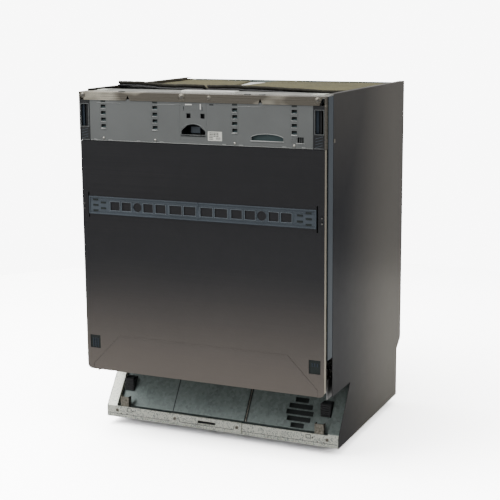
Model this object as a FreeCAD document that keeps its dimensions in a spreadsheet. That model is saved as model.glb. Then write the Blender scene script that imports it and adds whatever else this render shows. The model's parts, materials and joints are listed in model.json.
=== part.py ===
"""Fully integrated 60 cm dishwasher without its furniture door, as a parametric FreeCAD document.

Frame: origin at the middle of the floor under the appliance, +Z up, +X to the right
as seen from the front, and the door facing -Y. All sizes are millimetres.
"""
import FreeCAD, Part
import Sketcher
import os

doc = FreeCAD.newDocument("Dishwasher")

# ---------------------------------------------------------------- driving dimensions
DRIVING = {
    # overall size of the appliance and its sheet metal
    "case_width": 598, "case_height": 815, "case_depth": 550,
    "sheet_gauge": 1.0, "fit_gap": 0.3, "run_gap": 0.05,
    # depth bands, counted from the front
    "rail_proud": 3, "door_zone": 45, "pan_gap": 2, "pan_depth": 30, "tub_setback": 6,
    "side_back_inset": 4, "tub_back_inset": 20,
    # side panels
    "rim_width": 12, "cut_height": 155, "kick_recess": 88, "kick_run_top": 74,
    "kick_run_knee": 47, "knee_height": 113, "toe_height": 50, "base_clearance": 20,
    "rear_step_run": 29, "rear_step_low": 140, "rear_step_high": 164,
    # base tray and the sloping kick wall
    "tray_gauge": 2, "tray_wall_height": 34, "tray_back_inset": 37, "boss_radius": 11,
    "boss_height": 26, "lip_height": 28, "shelf_run": 15, "wall_run": 67, "wall_top": 150,
    "wall_flange": 12, "gusset_width": 26,
    "vent_centre_across": 191, "vent_centre_height": 80, "vent_radius": 33, "vent_slot": 9.4,
    "vent_pitch": 12.5,
    "cover_left": 124, "cover_right": 60, "cover_standoff": 2.5, "cover_slot_left": 53,
    "cover_slot_right": 7, "cover_slot_low": 34, "cover_slot_high": 41,
    "block_centre": 44, "block_width": 24, "block_low": 79, "block_high": 110, "block_nose": 12,
    "block_depth": 26, "rib_depth": 2, "rib_count": 6,
    "clip_outset": 37, "clip_width": 22, "clip_low": 48.5, "clip_high": 72, "clip_depth": 13,
    # feet
    "foot_across": 45, "foot_front_inset": 155, "foot_rear_inset": 78, "foot_pad_radius": 19,
    "foot_pad_height": 9, "stem_radius": 5, "stem_length": 92,
    # tub
    "tub_side_inset": 23, "tub_top_inset": 23, "tub_drop": 5, "tub_wall": 1.5,
    "flange_reach": 6.5, "mouth_inset": 6, "sill_height": 30, "mouth_top_inset": 7,
    "ledge_width": 26, "ledge_height": 20, "tub_corner": 14,
    "seal_width": 10, "seal_squash": 0.5,
    # felt, frame and top
    "felt_top_inset": 6, "felt_thickness": 12, "felt_front_inset": 115, "felt_side_inset": 13,
    "rear_felt_thickness": 5, "frame_bar": 34, "frame_top_bar": 26, "frame_gauge": 2,
    "member_depth": 68, "member_height": 15, "member_top_gap": 4,
    "tab_width": 26, "tab_depth": 30, "tab_inset": 36, "tab_hole_radius": 2.6,
    "lock_cover_left": 62, "lock_cover_right": 69, "lock_cover_depth": 25,
    "trim_front": 28, "trim_rise": 80, "trim_gauge": 1.5, "trim_web": 10, "trim_inset": 0.5,
    "trim_clip_drop": 71,
    # door skin
    "door_side_gap": 3, "door_bottom": 165, "door_top_gap": 4, "skin_top_drop": 110,
    "lip_depth": 10,
    "skin_corner": 9, "hole_width": 27, "hole_height": 31, "hole_inset": 9, "hole_rise": 51,
    "slit_width": 3, "slit_reach": 9, "pinhole_radius": 1.4, "pinhole_inset": 6,
    "crease_inset": 15, "crease_run": 71, "crease_rise": 87, "crease_width": 2.4,
    "crease_proud": 0.8, "crease_foot": 15,
    # door pan and hinge
    "pan_side_inset": 16, "pan_bottom_rise": 11, "pan_top_drop": 5,
    "hinge_back": 2, "hinge_rise": 7, "pin_radius": 4, "arm_gauge": 3, "arm_width": 18,
    "arm_height": 130, "lever_reach": 40, "bracket_gap": 1.5, "bracket_gauge": 2.5,
    "bracket_length": 154, "bracket_low": 22, "bracket_high": 23, "anchor_length": 16,
    "anchor_high": 50, "spring_radius": 5.5, "spring_wire": 1.4, "spring_clear": 6,
    # control section
    "cap_width": 27, "cover_gap": 1, "cover_top_drop": 15, "cover_gauge": 2,
    "cover_rim": 8, "strip_height": 18, "strip_inset": 5, "strip_slant": 8,
    "strip_back": 1.5, "strip_top_depth": 39, "notch_left": 170, "notch_right": 150,
    "notch_depth": 12, "notch_half": 5, "cheek_depth": 25,
    "window_width": 12, "window_height": 7.8, "window_pitch": 14.6, "window_rise": 29.5,
    "window_count": 4, "column_left_inset": 35, "column_left": 103, "column_right": 90,
    "column_right_inset": 42, "peg_rise": 6, "peg_radius": 2.6,
    "latch_centre": -9.5, "arch_half": 29, "arch_sill": 21, "arch_shoulder": 29,
    "arch_crown": 44, "arch_dip": 3,
    "square_left": 11, "square_right": 23, "square_width": 10, "square_low": 56.5,
    "square_high": 67,
    "recess_left": 129, "recess_right": 202, "recess_sill": 14, "recess_shoulder": 21,
    "recess_crown": 28, "recess_dip": 2,
    "corner_hole_left": 234, "corner_hole_right": 248, "corner_hole_low": 12,
    "corner_hole_high": 24,
    "cap_gauge": 2, "cap_depth": 22, "cap_recess_low": 31, "cap_recess_high": 82,
    "power_across": 196, "program_across": 112, "start_across": 146,
    "button_half": 7, "button_depth": 9, "button_proud": 1.5, "button_length": 10,
    "button_gap": 0.4, "button_setback": 14,
    "end_screw_radius": 5, "boss_across": 36, "boss_screw_radius": 6, "small_across": 30,
    "small_screw_radius": 4, "right_screw_inset": 11,
    # mounting rail
    "rail_inset": 19, "rail_height": 40, "rail_drop": 256.5, "rail_window": 20,
    "rail_near_1": 5.5, "rail_far_1": 35.5, "rail_near_2": 40, "rail_far_2": 71,
    "rail_near_3": 80, "rail_far_3": 106, "rail_near_4": 112, "rail_far_4": 137,
    "rail_near_5": 168, "rail_far_5": 192, "rail_near_6": 197, "rail_far_6": 222,
    "rail_windows": 6, "rail_bead_drop": 0.6,
    "rail_web": 1.4, "rail_rim": 2.2, "rail_circle": 10.5, "rail_circle_centre": 152,
    "rail_slot_length": 14, "rail_slot_height": 4.4, "slot_pair_inset": 37,
    "slot_pair_rise": 6.5, "slot_trio_inset": 17, "slot_trio_rise": 12.5,
    # latch
    "housing_half": 32, "housing_rise": 14, "housing_back_gap": 3, "channel_half": 12,
    "channel_floor": 20, "channel_wall": 3, "pocket_wall": 4, "pocket_room": 2,
    "tongue_half": 7, "tongue_gauge": 4, "tongue_length": 22,
    "tongue_top_drop": 10, "rocker_half": 5, "rocker_height": 7, "rocker_length": 22,
    "rocker_pin": 2.5, "tongue_gap": 0.5,
    # dispenser
    "dispenser_left": 24, "dispenser_right": 150, "dispenser_rise": 174,
    "dispenser_height": 110, "dispenser_proud": 17, "dispenser_sunk": 20, "cup_margin": 8,
    "cup_floor": 4, "cup_sill": 28, "cup_head": 20, "guide_low": 14, "guide_high": 12,
    "guide_height": 4, "guide_proud": 2, "lid_width": 62, "lid_margin": 2, "lid_gauge": 3,
    "thumb_margin": 8, "thumb_width": 6, "thumb_low": 36, "thumb_high": 30, "cap_radius": 21,
    "cap_margin": 4,
    # sump, filters, pumps, softener
    "sump_gap": 6, "sump_radius": 90, "sump_depth": 52, "sump_wall": 3, "post_radius": 12,
    "post_height": 50, "filter_gauge": 2, "filter_offset": 66, "filter_radius": 37,
    "filter_depth": 44, "filter_grip": 16,
    "pump_radius": 32, "pump_length": 130, "drain_radius": 20, "drain_length": 60,
    "tank_width": 96, "tank_depth": 170, "tank_height": 108, "tank_side_inset": 34,
    "neck_radius": 28, "neck_back": 175, "salt_cap_radius": 33, "salt_cap_height": 10,
    # spray arms and racks
    "arm_radius": 204, "arm_tip": 14, "arm_root": 24, "arm_thick": 12, "arm_gap": 4,
    "upper_arm_radius": 185, "top_arm_radius": 120,
    "wire": 2.5,
    "lower_side": 40, "lower_front": 34, "lower_back": 28, "lower_carrier": 26.2,
    "lower_wall": 104, "upper_side": 44, "upper_front": 40, "upper_back": 36,
    "upper_drop": 310, "upper_wall": 103, "wires_across": 9, "wires_along": 8,
    "tine_height": 62, "tine_rows": 3,
    "wheel_radius": 18, "wheel_width": 8, "wheel_front": 60, "wheel_rear": 70, "axle_radius": 3,
    "hub_hole": 10, "carrier_gauge": 3,
    "track_rise": 46, "track_height": 24, "track_reach": 13, "track_gauge": 2,
    "basket_width": 90, "basket_depth": 160, "basket_height": 96, "basket_wall": 2,
    # rear services
    "inlet_radius": 13.2, "inlet_length": 16, "drain_spigot": 10.5, "service_height": 78,
    "terminal_width": 70, "terminal_height": 60, "terminal_depth": 26,
}


class Size:
    """A length that carries its present value and the sheet formula it is worked out from."""

    def __init__(self, value, text):
        self.value = float(value)
        self.text = text

    def __add__(self, other):
        other = size(other)
        return Size(self.value + other.value, "(%s + %s)" % (self.text, other.text))

    def __sub__(self, other):
        other = size(other)
        return Size(self.value - other.value, "(%s - %s)" % (self.text, other.text))

    def __mul__(self, other):
        other = size(other)
        return Size(self.value * other.value, "(%s * %s)" % (self.text, other.text))

    def __truediv__(self, other):
        other = size(other)
        return Size(self.value / other.value, "(%s / %s)" % (self.text, other.text))

    def __neg__(self):
        return Size(-self.value, "(-1 * %s)" % self.text)

    def __radd__(self, other):
        return size(other) + self

    def __rsub__(self, other):
        return size(other) - self

    def __rmul__(self, other):
        return size(other) * self


def size(thing):
    """Any number as a Size."""
    return thing if isinstance(thing, Size) else Size(thing, "(%r)" % float(thing))


class Dimensions:
    """The sheet's aliases as attributes."""


def fill_sheet():
    """Write every driving dimension into the spreadsheet and hand the aliases back."""
    sheet = doc.addObject("Spreadsheet::Sheet", "Dim")
    names = Dimensions()
    for row, (name, value) in enumerate(DRIVING.items(), start=1):
        sheet.set("A%d" % row, name)
        sheet.set("B%d" % row, str(value))
        sheet.setAlias("B%d" % row, name)
        setattr(names, name, Size(value, "Dim." + name))
    doc.recompute()
    return names


d = fill_sheet()

# ---------------------------------------------------------------- planes that pieces share
half = d.case_width / 2
front = -d.case_depth / 2
back = d.case_depth / 2
top = d.case_height
skin_face = front + d.rail_proud
case_front = front + d.door_zone
door_half = half - d.door_side_gap
door_top = top - d.door_top_gap
pan_back = case_front - d.pan_gap
pan_front = pan_back - d.pan_depth
pan_half = half - d.pan_side_inset
pan_low = d.door_bottom + d.pan_bottom_rise
pan_high = door_top - d.pan_top_drop
hinge_y = case_front + d.hinge_back
hinge_z = d.door_bottom + d.hinge_rise
tub_front = case_front + d.tub_setback
tub_half = half - d.tub_side_inset
tub_back = back - d.tub_back_inset
tub_low = d.door_bottom - d.tub_drop
tub_floor = tub_low + d.tub_wall
tub_high = top - d.tub_top_inset
side_back = back - d.side_back_inset
inner_half = half - d.sheet_gauge - d.fit_gap
kick_y = front + d.kick_recess
base_low = d.base_clearance
lip_top = base_low + d.lip_height
kick_back = kick_y + d.shelf_run + d.wall_run + d.wall_flange
hub_y = kick_back + d.sump_gap + d.sump_radius + d.filter_offset / 3
member_top = top - d.member_top_gap
skin_top = door_top - d.skin_top_drop
cover_bottom = skin_top + d.cover_gap
cover_half = door_half - d.cap_width
strip_half = door_half - d.strip_inset
rail_half = door_half - d.rail_inset
rail_centre = door_top - d.rail_drop
housing_low = cover_bottom + d.housing_rise
dispenser_low = pan_low + d.dispenser_rise
dispenser_high = dispenser_low + d.dispenser_height
lower_half = tub_half - d.lower_side
upper_half = tub_half - d.upper_side
wheel_z = tub_floor + d.ledge_height + d.wheel_radius + d.fit_gap
lower_floor = wheel_z + d.lower_carrier
lower_rim = lower_floor + d.lower_wall
upper_floor = tub_high - d.upper_drop
upper_rim = upper_floor + d.upper_wall
track_low = upper_floor + d.track_rise
columns = (-(cover_half - d.column_left_inset), -d.column_left, d.column_right,
           cover_half - d.column_right_inset)
nodes = []

# shares of a wire's or a post's radius
RAIL = 1.2
CROSS = 0.9
PIPE = 0.8
FEED = 0.6


# ---------------------------------------------------------------- building helpers
def bind(thing, prop, length):
    """Tie one property of an object to the sheet."""
    thing.setExpression(prop, size(length).text)


def place(thing, x, y, z, turn=FreeCAD.Rotation()):
    """Put an object's own origin at a point worked out from the sheet."""
    x, y, z = size(x), size(y), size(z)
    thing.Placement = FreeCAD.Placement(FreeCAD.Vector(x.value, y.value, z.value), turn)
    for axis, length in (("x", x), ("y", y), ("z", z)):
        bind(thing, "Placement.Base." + axis, length)
    return thing


def in_order(pair):
    """A span with its lower end first."""
    low, high = size(pair[0]), size(pair[1])
    return (low, high) if low.value <= high.value else (high, low)


def box(x, y, z):
    """A block between two planes on each axis."""
    block = doc.addObject("Part::Box", "Block")
    spans = [in_order(pair) for pair in (x, y, z)]
    for prop, (low, high) in zip(("Length", "Width", "Height"), spans):
        bind(block, prop, high - low)
    return place(block, *[low for low, high in spans])


TURNS = {"x": FreeCAD.Rotation(FreeCAD.Vector(0, 1, 0), 90),
         "y": FreeCAD.Rotation(FreeCAD.Vector(1, 0, 0), -90),
         "z": FreeCAD.Rotation()}


def at_axis(thing, axis, centre, low):
    """Stand a round piece on its axis: centre holds the two other coordinates in X, Y, Z order."""
    a, b = centre
    spots = {"x": (low, a, b), "y": (a, low, b), "z": (a, b, low)}
    return place(thing, *spots[axis], turn=TURNS[axis])


def rod(axis, centre, radius, span):
    """A cylinder along an axis."""
    low, high = in_order(span)
    bar = doc.addObject("Part::Cylinder", "Rod")
    bind(bar, "Radius", radius)
    bind(bar, "Height", high - low)
    return at_axis(bar, axis, centre, low)


def taper(axis, centre, low_radius, high_radius, span):
    """A cone along an axis, its first radius at the span's start."""
    low, high = in_order(span)
    cone = doc.addObject("Part::Cone", "Taper")
    bind(cone, "Radius1", low_radius)
    bind(cone, "Radius2", high_radius)
    bind(cone, "Height", high - low)
    return at_axis(cone, axis, centre, low)


def fuse(*pieces):
    """One solid from several."""
    joined = doc.addObject("Part::MultiFuse", "Joined")
    joined.Shapes = list(pieces)
    return joined


def cut(base, *tools):
    """A piece with others taken out of it."""
    rest = doc.addObject("Part::Cut", "Cut")
    rest.Base = base
    rest.Tool = tools[0] if len(tools) == 1 else fuse(*tools)
    return rest


def group(*pieces):
    """Separate solids that share one node."""
    bundle = doc.addObject("Part::Compound", "Group")
    bundle.Links = list(pieces)
    return bundle


def tube(axis, centre, outer, inner, span):
    """A round pipe along an axis."""
    low, high = in_order(span)
    return cut(rod(axis, centre, outer, (low, high)), rod(axis, centre, inner, (low - 1, high + 1)))


def rectangle(u, v):
    """The corners of an upright rectangle in a sketch."""
    return [(u[0], v[0]), (u[1], v[0]), (u[1], v[1]), (u[0], v[1])]


def draw(sketch, outlines):
    """Fill a sketch: an outline is a list of corners, or a tuple of a circle's centre and radius."""
    shapes, rules, formulas = [], [], []
    for outline in outlines:
        first = len(shapes)
        if isinstance(outline, tuple):
            u, v, radius = [size(part) for part in outline]
            centre = FreeCAD.Vector(u.value, v.value, 0)
            shapes.append(Part.Circle(centre, FreeCAD.Vector(0, 0, 1), radius.value))
            rules += [Sketcher.Constraint("DistanceX", -1, 1, first, 3, u.value),
                      Sketcher.Constraint("DistanceY", -1, 1, first, 3, v.value),
                      Sketcher.Constraint("Radius", first, radius.value)]
            formulas += [u, v, radius]
            continue
        corners = [(size(u), size(v)) for u, v in outline]
        count = len(corners)
        spots = [FreeCAD.Vector(u.value, v.value, 0) for u, v in corners]
        for index, (u, v) in enumerate(corners):
            shapes.append(Part.LineSegment(spots[index], spots[(index + 1) % count]))
            rules += [Sketcher.Constraint("DistanceX", -1, 1, first + index, 1, u.value),
                      Sketcher.Constraint("DistanceY", -1, 1, first + index, 1, v.value)]
            formulas += [u, v]
        for index in range(count):
            rules.append(Sketcher.Constraint("Coincident", first + index, 2,
                                             first + (index + 1) % count, 1))
            formulas.append(None)
    sketch.addGeometry(shapes, False)
    sketch.addConstraint(rules)
    for index, formula in enumerate(formulas):
        if formula is not None:
            bind(sketch, "Constraints[%d]" % index, formula)


def pad(plane, outlines, span):
    """A body padded from a sketch on an origin plane, between two heights along the third axis."""
    low, high = in_order(span)
    body = doc.addObject("PartDesign::Body", "Body")
    sketch = body.newObject("Sketcher::SketchObject", "Outline")
    flat = [f for f in body.Origin.OriginFeatures if f.Role == plane + "_Plane"][0]
    sketch.AttachmentSupport = [(flat, "")]
    sketch.MapMode = "FlatFace"
    # the XZ plane faces -Y, so its pad starts at the far side
    bind(sketch, "AttachmentOffset.Base.z", -high if plane == "XZ" else low)
    draw(sketch, outlines)
    solid = body.newObject("PartDesign::Pad", "Pad")
    solid.Profile = sketch
    bind(solid, "Length", high - low)
    return body


def rounded(thing, axis, radius):
    """Round a block's edges that run along one axis."""
    doc.recompute()
    way = {"x": FreeCAD.Vector(1, 0, 0), "y": FreeCAD.Vector(0, 1, 0),
           "z": FreeCAD.Vector(0, 0, 1)}[axis]
    edges = []
    for number, edge in enumerate(thing.Shape.Edges, start=1):
        straight = edge.Curve.TypeId == "Part::GeomLine"
        if straight and abs(edge.tangentAt(edge.FirstParameter) * way) > 0.999:
            edges.append((number, radius.value, radius.value))
    smooth = doc.addObject("Part::Fillet", "Round")
    smooth.Base = thing
    smooth.Edges = edges
    return smooth


def node(name, thing):
    """Name a finished sub-part; its label is its file's name."""
    thing.Label = name
    nodes.append(thing)
    return thing


# ---------------------------------------------------------------- case
def side_panel(side):
    """Outer side sheet: stepped at the rear, cut away above the sloping kick, rim along the top."""
    tray_back = back - d.tray_back_inset + d.side_back_inset
    outline = [(case_front, top), (case_front, d.cut_height),
               (kick_y + d.kick_run_top, d.cut_height),
               (kick_y + d.kick_run_knee, d.knee_height),
               (kick_y + d.pan_gap, d.toe_height), (kick_y, lip_top), (kick_y, base_low),
               (side_back - d.rear_step_run, base_low),
               (side_back - d.rear_step_run, d.rear_step_low),
               (side_back, d.rear_step_high), (side_back, top)]
    skin = pad("YZ", [outline], (side * (half - d.sheet_gauge), side * half))
    rim = box((side * (half - d.rim_width), side * half), (case_front, side_back),
              (top - d.sheet_gauge, top))
    return fuse(skin, rim)


def rear_frame():
    """Rear frame of pressed steel: a flat ring with a deeper bar across the top."""
    face = side_back - d.frame_gauge
    ring = pad("XZ", [rectangle((-inner_half, inner_half), (d.rear_step_high, member_top)),
                      rectangle((-(inner_half - d.frame_bar), inner_half - d.frame_bar),
                                (d.rear_step_high + d.frame_bar, top - d.frame_top_bar))],
               (face, side_back))
    bar = box((-inner_half, inner_half), (face, back),
              (member_top - d.frame_gauge, member_top))
    return fuse(ring, bar)


def top_cross_member():
    """Channel across the top of the case, behind the door."""
    low = member_top - d.member_height
    start, end = hinge_y, hinge_y + d.member_depth
    outline = [(start, low), (start, member_top), (end, member_top), (end, low),
               (end - d.sheet_gauge, low), (end - d.sheet_gauge, member_top - d.sheet_gauge),
               (start + d.sheet_gauge, member_top - d.sheet_gauge), (start + d.sheet_gauge, low)]
    return pad("YZ", [outline], (-inner_half, inner_half))


def worktop_brackets():
    """Two drilled tabs that hold the appliance to the worktop."""
    tabs = []
    for side in (-1, 1):
        centre = side * (half - d.tab_inset)
        y = (hinge_y + 2, hinge_y + 2 + d.tab_depth)
        plate = box((centre - d.tab_width / 2, centre + d.tab_width / 2), y,
                    (member_top, member_top + d.sheet_gauge * 2))
        hole = rod("z", (centre, hinge_y + 2 + d.tab_depth / 2), d.tab_hole_radius,
                   (member_top - 1, top))
        tabs.append(cut(plate, hole))
    return group(*tabs)


def lock_cover():
    """Plastic cover over the striker, clipped to the cross member."""
    block = box((-d.lock_cover_left, d.lock_cover_right),
                (hinge_y + 3, hinge_y + 3 + d.lock_cover_depth), (member_top, top))
    return rounded(block, "z", d.door_side_gap)


def side_trim(side):
    """Plastic strip that closes the gap in front of the side panel, with its clip."""
    outer = side * (half - d.trim_inset)
    inner = side * (half - d.trim_inset - d.trim_gauge)
    y = (case_front - d.trim_front, case_front - d.fit_gap)
    z = (d.door_bottom + d.trim_rise, member_top)
    plate = box((inner, outer), y, z)
    web = box((side * (half - d.trim_inset - d.trim_web), outer),
              (y[1] - d.trim_gauge, y[1]), z)
    bead = side * (half - d.trim_inset - d.trim_gauge * 4 / 3)
    lip = box((bead, outer), (y[0], y[0] + d.trim_gauge), z)
    clip_low = member_top - d.trim_clip_drop
    clip = box((bead, outer), (y[0], y[0] + d.trim_web), (clip_low, clip_low + d.trim_web))
    return fuse(plate, web, lip, clip)


# ---------------------------------------------------------------- base
def wall_y(z):
    """Front face of the sloping kick wall at a height."""
    return kick_y + d.shelf_run + d.wall_run * (z - lip_top) / (d.wall_top - lip_top)


def kick_outline(forward, rise, low, high, flange):
    """Bent sheet of the kick: lip, shelf, slope and top flange, moved forward and its shelf up."""
    gauge = d.sheet_gauge
    start = kick_y - forward
    shelf = start + d.shelf_run
    ledge = lip_top + rise
    slope_top = wall_y(high) - forward
    outline = [(start, low), (start, ledge), (shelf, ledge), (slope_top, high)]
    if flange:
        outline += [(slope_top + flange, high), (slope_top + flange, high - gauge)]
    return outline + [(slope_top + gauge, high - gauge), (shelf + gauge, ledge - gauge),
                      (start + gauge, ledge - gauge), (start + gauge, low)]


def tensioner_span(side):
    """How far across a spring tensioner reaches."""
    centre = side * (half - d.block_centre)
    return centre - d.block_width / 2, centre + d.block_width / 2


def front_base_plate():
    """Galvanised kick: sloping wall with a round louvred vent and a gusset flange at each end."""
    wall = pad("YZ", [kick_outline(0, 0, base_low, d.wall_top, d.wall_flange)],
               (-inner_half, inner_half))
    holes = []
    for row in range(-2, 3):
        z = d.vent_centre_height + row * d.vent_pitch
        reach = d.vent_radius - abs(row) ** 2 * (d.vent_radius - d.wall_flange) / 5
        holes.append(box((d.vent_centre_across - reach, d.vent_centre_across + reach),
                         (kick_y, kick_y + d.kick_recess),
                         (z - d.vent_slot / 2, z + d.vent_slot / 2)))
    for side in (-1, 1):
        left, right = tensioner_span(side)
        holes.append(box((left - d.fit_gap, right + d.fit_gap),
                         (kick_y + d.shelf_run + 1, kick_y + d.kick_recess),
                         (d.block_low - d.fit_gap, d.block_high + d.fit_gap)))
    holes.append(box((-d.cover_slot_left, -d.cover_slot_right),
                     (kick_y - 1, kick_y + d.shelf_run / 2),
                     (d.cover_slot_low, d.cover_slot_high)))
    gauge = d.sheet_gauge
    path = [(kick_y + d.kick_run_top, d.wall_top), (kick_y + d.kick_run_knee, d.knee_height),
            (kick_y + d.pan_gap, d.toe_height), (kick_y, lip_top), (kick_y, base_low)]
    backs = [(y + gauge, z) for y, z in reversed(path)]
    gussets = [pad("YZ", [path + backs],
                   (side * (inner_half - d.gusset_width), side * inner_half))
               for side in (-1, 1)]
    return fuse(cut(wall, *holes), *gussets)


def service_cover():
    """Removable plate in front of the kick's middle, with the slot for the rear foot's adjuster."""
    low = base_low + d.door_side_gap
    rise = d.sheet_gauge + d.fit_gap
    outline = kick_outline(d.cover_standoff, rise, low, d.wall_top - d.door_side_gap, None)
    plate = pad("YZ", [outline], (-d.cover_left, d.cover_right))
    slot = box((-d.cover_slot_left, -d.cover_slot_right),
               (kick_y - d.kick_recess / 2, kick_y + d.shelf_run / 2),
               (d.cover_slot_low, d.cover_slot_high))
    return cut(plate, slot)


def base_pan():
    """Floor tray that carries the pumps, with a threaded boss for each foot."""
    floor = (base_low, base_low + d.tray_gauge)
    start, end = kick_y + d.tray_gauge, back - d.tray_back_inset
    half_width = inner_half - d.fit_gap
    wall_start = kick_y + d.shelf_run * 1.5
    walls = [box((side * (half_width - d.tray_gauge), side * half_width), (wall_start, end),
                 (base_low, base_low + d.tray_wall_height)) for side in (-1, 1)]
    rear = box((-half_width, half_width), (end - d.tray_gauge, end),
               (base_low, base_low + d.tray_wall_height))
    bosses, holes = [], []
    for spot in foot_spots():
        bosses.append(rod("z", spot, d.boss_radius, (base_low, base_low + d.boss_height)))
        holes.append(rod("z", spot, d.stem_radius + d.run_gap, (0, d.wall_top)))
    tray = fuse(box((-half_width, half_width), (start, end), floor), rear, *(walls + bosses))
    return cut(tray, *holes)


def foot_spots():
    """Where the three feet stand: two at the front, one in the middle at the rear."""
    y = front + d.foot_front_inset
    return [(-(half - d.foot_across), y), (half - d.foot_across, y),
            (size(0), back - d.foot_rear_inset)]


def foot(spot):
    """Levelling foot: a pad on a threaded stem."""
    pad_top = d.foot_pad_height
    disc = rod("z", spot, d.foot_pad_radius, (0, pad_top / 2))
    crown = taper("z", spot, d.foot_pad_radius, d.stem_radius * 2, (pad_top / 2, pad_top))
    stem = rod("z", spot, d.stem_radius, (pad_top / 2, d.stem_length))
    return fuse(disc, crown, stem)


def spring_tensioners():
    """Ribbed blocks in the kick wall that set the door springs' pull."""
    blocks = []
    for side in (-1, 1):
        x = tensioner_span(side)
        middle = wall_y((d.block_low + d.block_high) / 2)
        nose = middle - d.block_nose
        body = box(x, (nose, nose + d.block_depth), (d.block_low, d.block_high))
        pitch = (d.block_high - d.block_low) / d.rib_count
        ribs = [box(x, (nose - d.rib_depth, nose + 1),
                    (d.block_low + (row + 0.25) * pitch, d.block_low + (row + 0.75) * pitch))
                for row in range(DRIVING["rib_count"])]
        blocks.append(fuse(body, *ribs))
    return group(*blocks)


def plinth_brackets():
    """Two small U brackets on the shelf that hold the plinth board."""
    clips = []
    for side in (-1, 1):
        outer = side * (half - d.clip_outset)
        inner = side * (half - d.clip_outset - d.clip_width)
        nose = kick_y + d.tray_gauge
        z = (d.clip_low, d.clip_high)
        gauge = side * d.tray_gauge
        parts = [box((inner, outer), (nose, nose + d.tray_gauge), z),
                 box((inner, inner + gauge), (nose, nose + d.clip_depth), z),
                 box((outer - gauge, outer), (nose, nose + d.clip_depth), z)]
        clips.append(fuse(*parts))
    return group(*clips)


def base_screws():
    """Pan-head screws along the kick's lip and the service cover."""
    height = (d.cover_slot_low + d.cover_slot_high) / 2
    spots = [(side * (half - d.clip_outset + d.arm_width / 2), kick_y, height)
             for side in (-1, 1)]
    edge = d.boss_radius
    spots += [(x, kick_y - d.cover_standoff, height)
              for x in (-(d.cover_left - edge), d.cover_right - edge)]
    return group(*[rod("y", (x, z), d.stem_radius * 0.8, (y - d.tray_gauge, y))
                   for x, y, z in spots])


# ---------------------------------------------------------------- tub and what it holds
def tub():
    """Deep-drawn tub, open at the front, with its flange, wheel ledges and floor openings."""
    wall = d.tub_wall
    outer = rounded(box((-tub_half, tub_half), (tub_front, tub_back), (tub_low, tub_high)),
                    "y", d.tub_corner + wall)
    inner = rounded(box((-(tub_half - wall), tub_half - wall), (tub_front - 1, tub_back - wall),
                        (tub_floor, tub_high - wall)), "y", d.tub_corner)
    shell = cut(outer, inner)
    mouth = rectangle((-(tub_half - d.mouth_inset), tub_half - d.mouth_inset),
                      (tub_low + d.sill_height, tub_high - d.mouth_top_inset))
    rim = rectangle((-(tub_half + d.flange_reach), tub_half + d.flange_reach),
                    (tub_low, tub_high + d.trim_gauge))
    flange = pad("XZ", [rim, mouth], (tub_front, tub_front + wall))
    ledges = [box((side * (tub_half - wall - d.ledge_width), side * (tub_half - wall / 2)),
                  (tub_front + wall / 2, tub_back - wall / 2),
                  (tub_low + wall / 2, tub_floor + d.ledge_height)) for side in (-1, 1)]
    drain = rod("z", (0, hub_y - d.filter_offset / 3), d.sump_radius + d.fit_gap,
                (tub_low - 1, tub_floor + 1))
    neck = rod("z", neck_spot(), d.neck_radius + d.fit_gap, (tub_low - 1, tub_floor + 1))
    post = rod("z", (0, hub_y), d.post_radius / 2, (top_arm_low() - d.arm_gap, tub_high - wall / 2))
    return cut(fuse(shell, flange, post, *ledges), drain, neck)


def door_seal():
    """Rubber gasket round the tub's mouth."""
    u = tub_half - d.mouth_inset + d.tray_gauge
    low, high = tub_low + d.sill_height - d.tray_gauge, tub_high - d.mouth_top_inset + d.tray_gauge
    w = d.seal_width
    return pad("XZ", [rectangle((-(u + w), u + w), (low - w, high + d.seal_squash)),
                      rectangle((-u, u), (low, high - w / 2))],
               (pan_back + d.seal_squash, tub_front))


def neck_spot():
    """Where the softener's filler neck comes up through the tub floor."""
    x = -(tub_half - d.tank_side_inset - d.tank_width / 2)
    return x, front + d.door_zone + d.neck_back


def water_softener():
    """Resin tank with its filler neck."""
    x, y = neck_spot()
    low = base_low + d.tray_gauge
    tank = rounded(box((x - d.tank_width / 2, x + d.tank_width / 2),
                       (y - d.tank_depth / 4, y + d.tank_depth * 3 / 4),
                       (low, low + d.tank_height)), "z", d.filter_gauge * 4)
    neck = tube("z", (x, y), d.neck_radius, d.neck_radius - d.sump_wall,
                (low + d.tank_height - 1, tub_floor + d.arm_gap))
    return fuse(tank, neck)


def salt_cap():
    """Screw cap of the salt tank, with its grip bar."""
    x, y = neck_spot()
    low = tub_floor + d.arm_gap + d.fit_gap
    disc = rod("z", (x, y), d.salt_cap_radius, (low, low + d.salt_cap_height))
    grip = box((x - d.salt_cap_radius * 0.8, x + d.salt_cap_radius * 0.8),
               (y - d.sump_wall, y + d.sump_wall),
               (low + d.salt_cap_height - 1, low + d.salt_cap_height * 1.7))
    return fuse(disc, grip)


def sump():
    """Round sump under the tub with the hollow post that feeds and carries the lower spray arm."""
    centre = (0, hub_y - d.filter_offset / 3)
    low = tub_low - d.sump_depth
    bowl = cut(rod("z", centre, d.sump_radius, (low, tub_floor)),
               rod("z", centre, d.sump_radius - d.sump_wall, (low + d.sump_wall, tub_floor + 1)))
    post = tube("z", (0, hub_y), d.post_radius, d.post_radius - d.sump_wall,
                (low + 1, tub_floor + d.post_height))
    spout = tube("y", (0, low + d.sump_depth / 2), d.drain_radius / 2, d.drain_radius / 3,
                 (hub_y - d.filter_offset / 3 + d.sump_radius - 1,
                  hub_y + d.sump_radius + d.arm_gap * 2))
    return fuse(bowl, post, spout)


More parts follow.
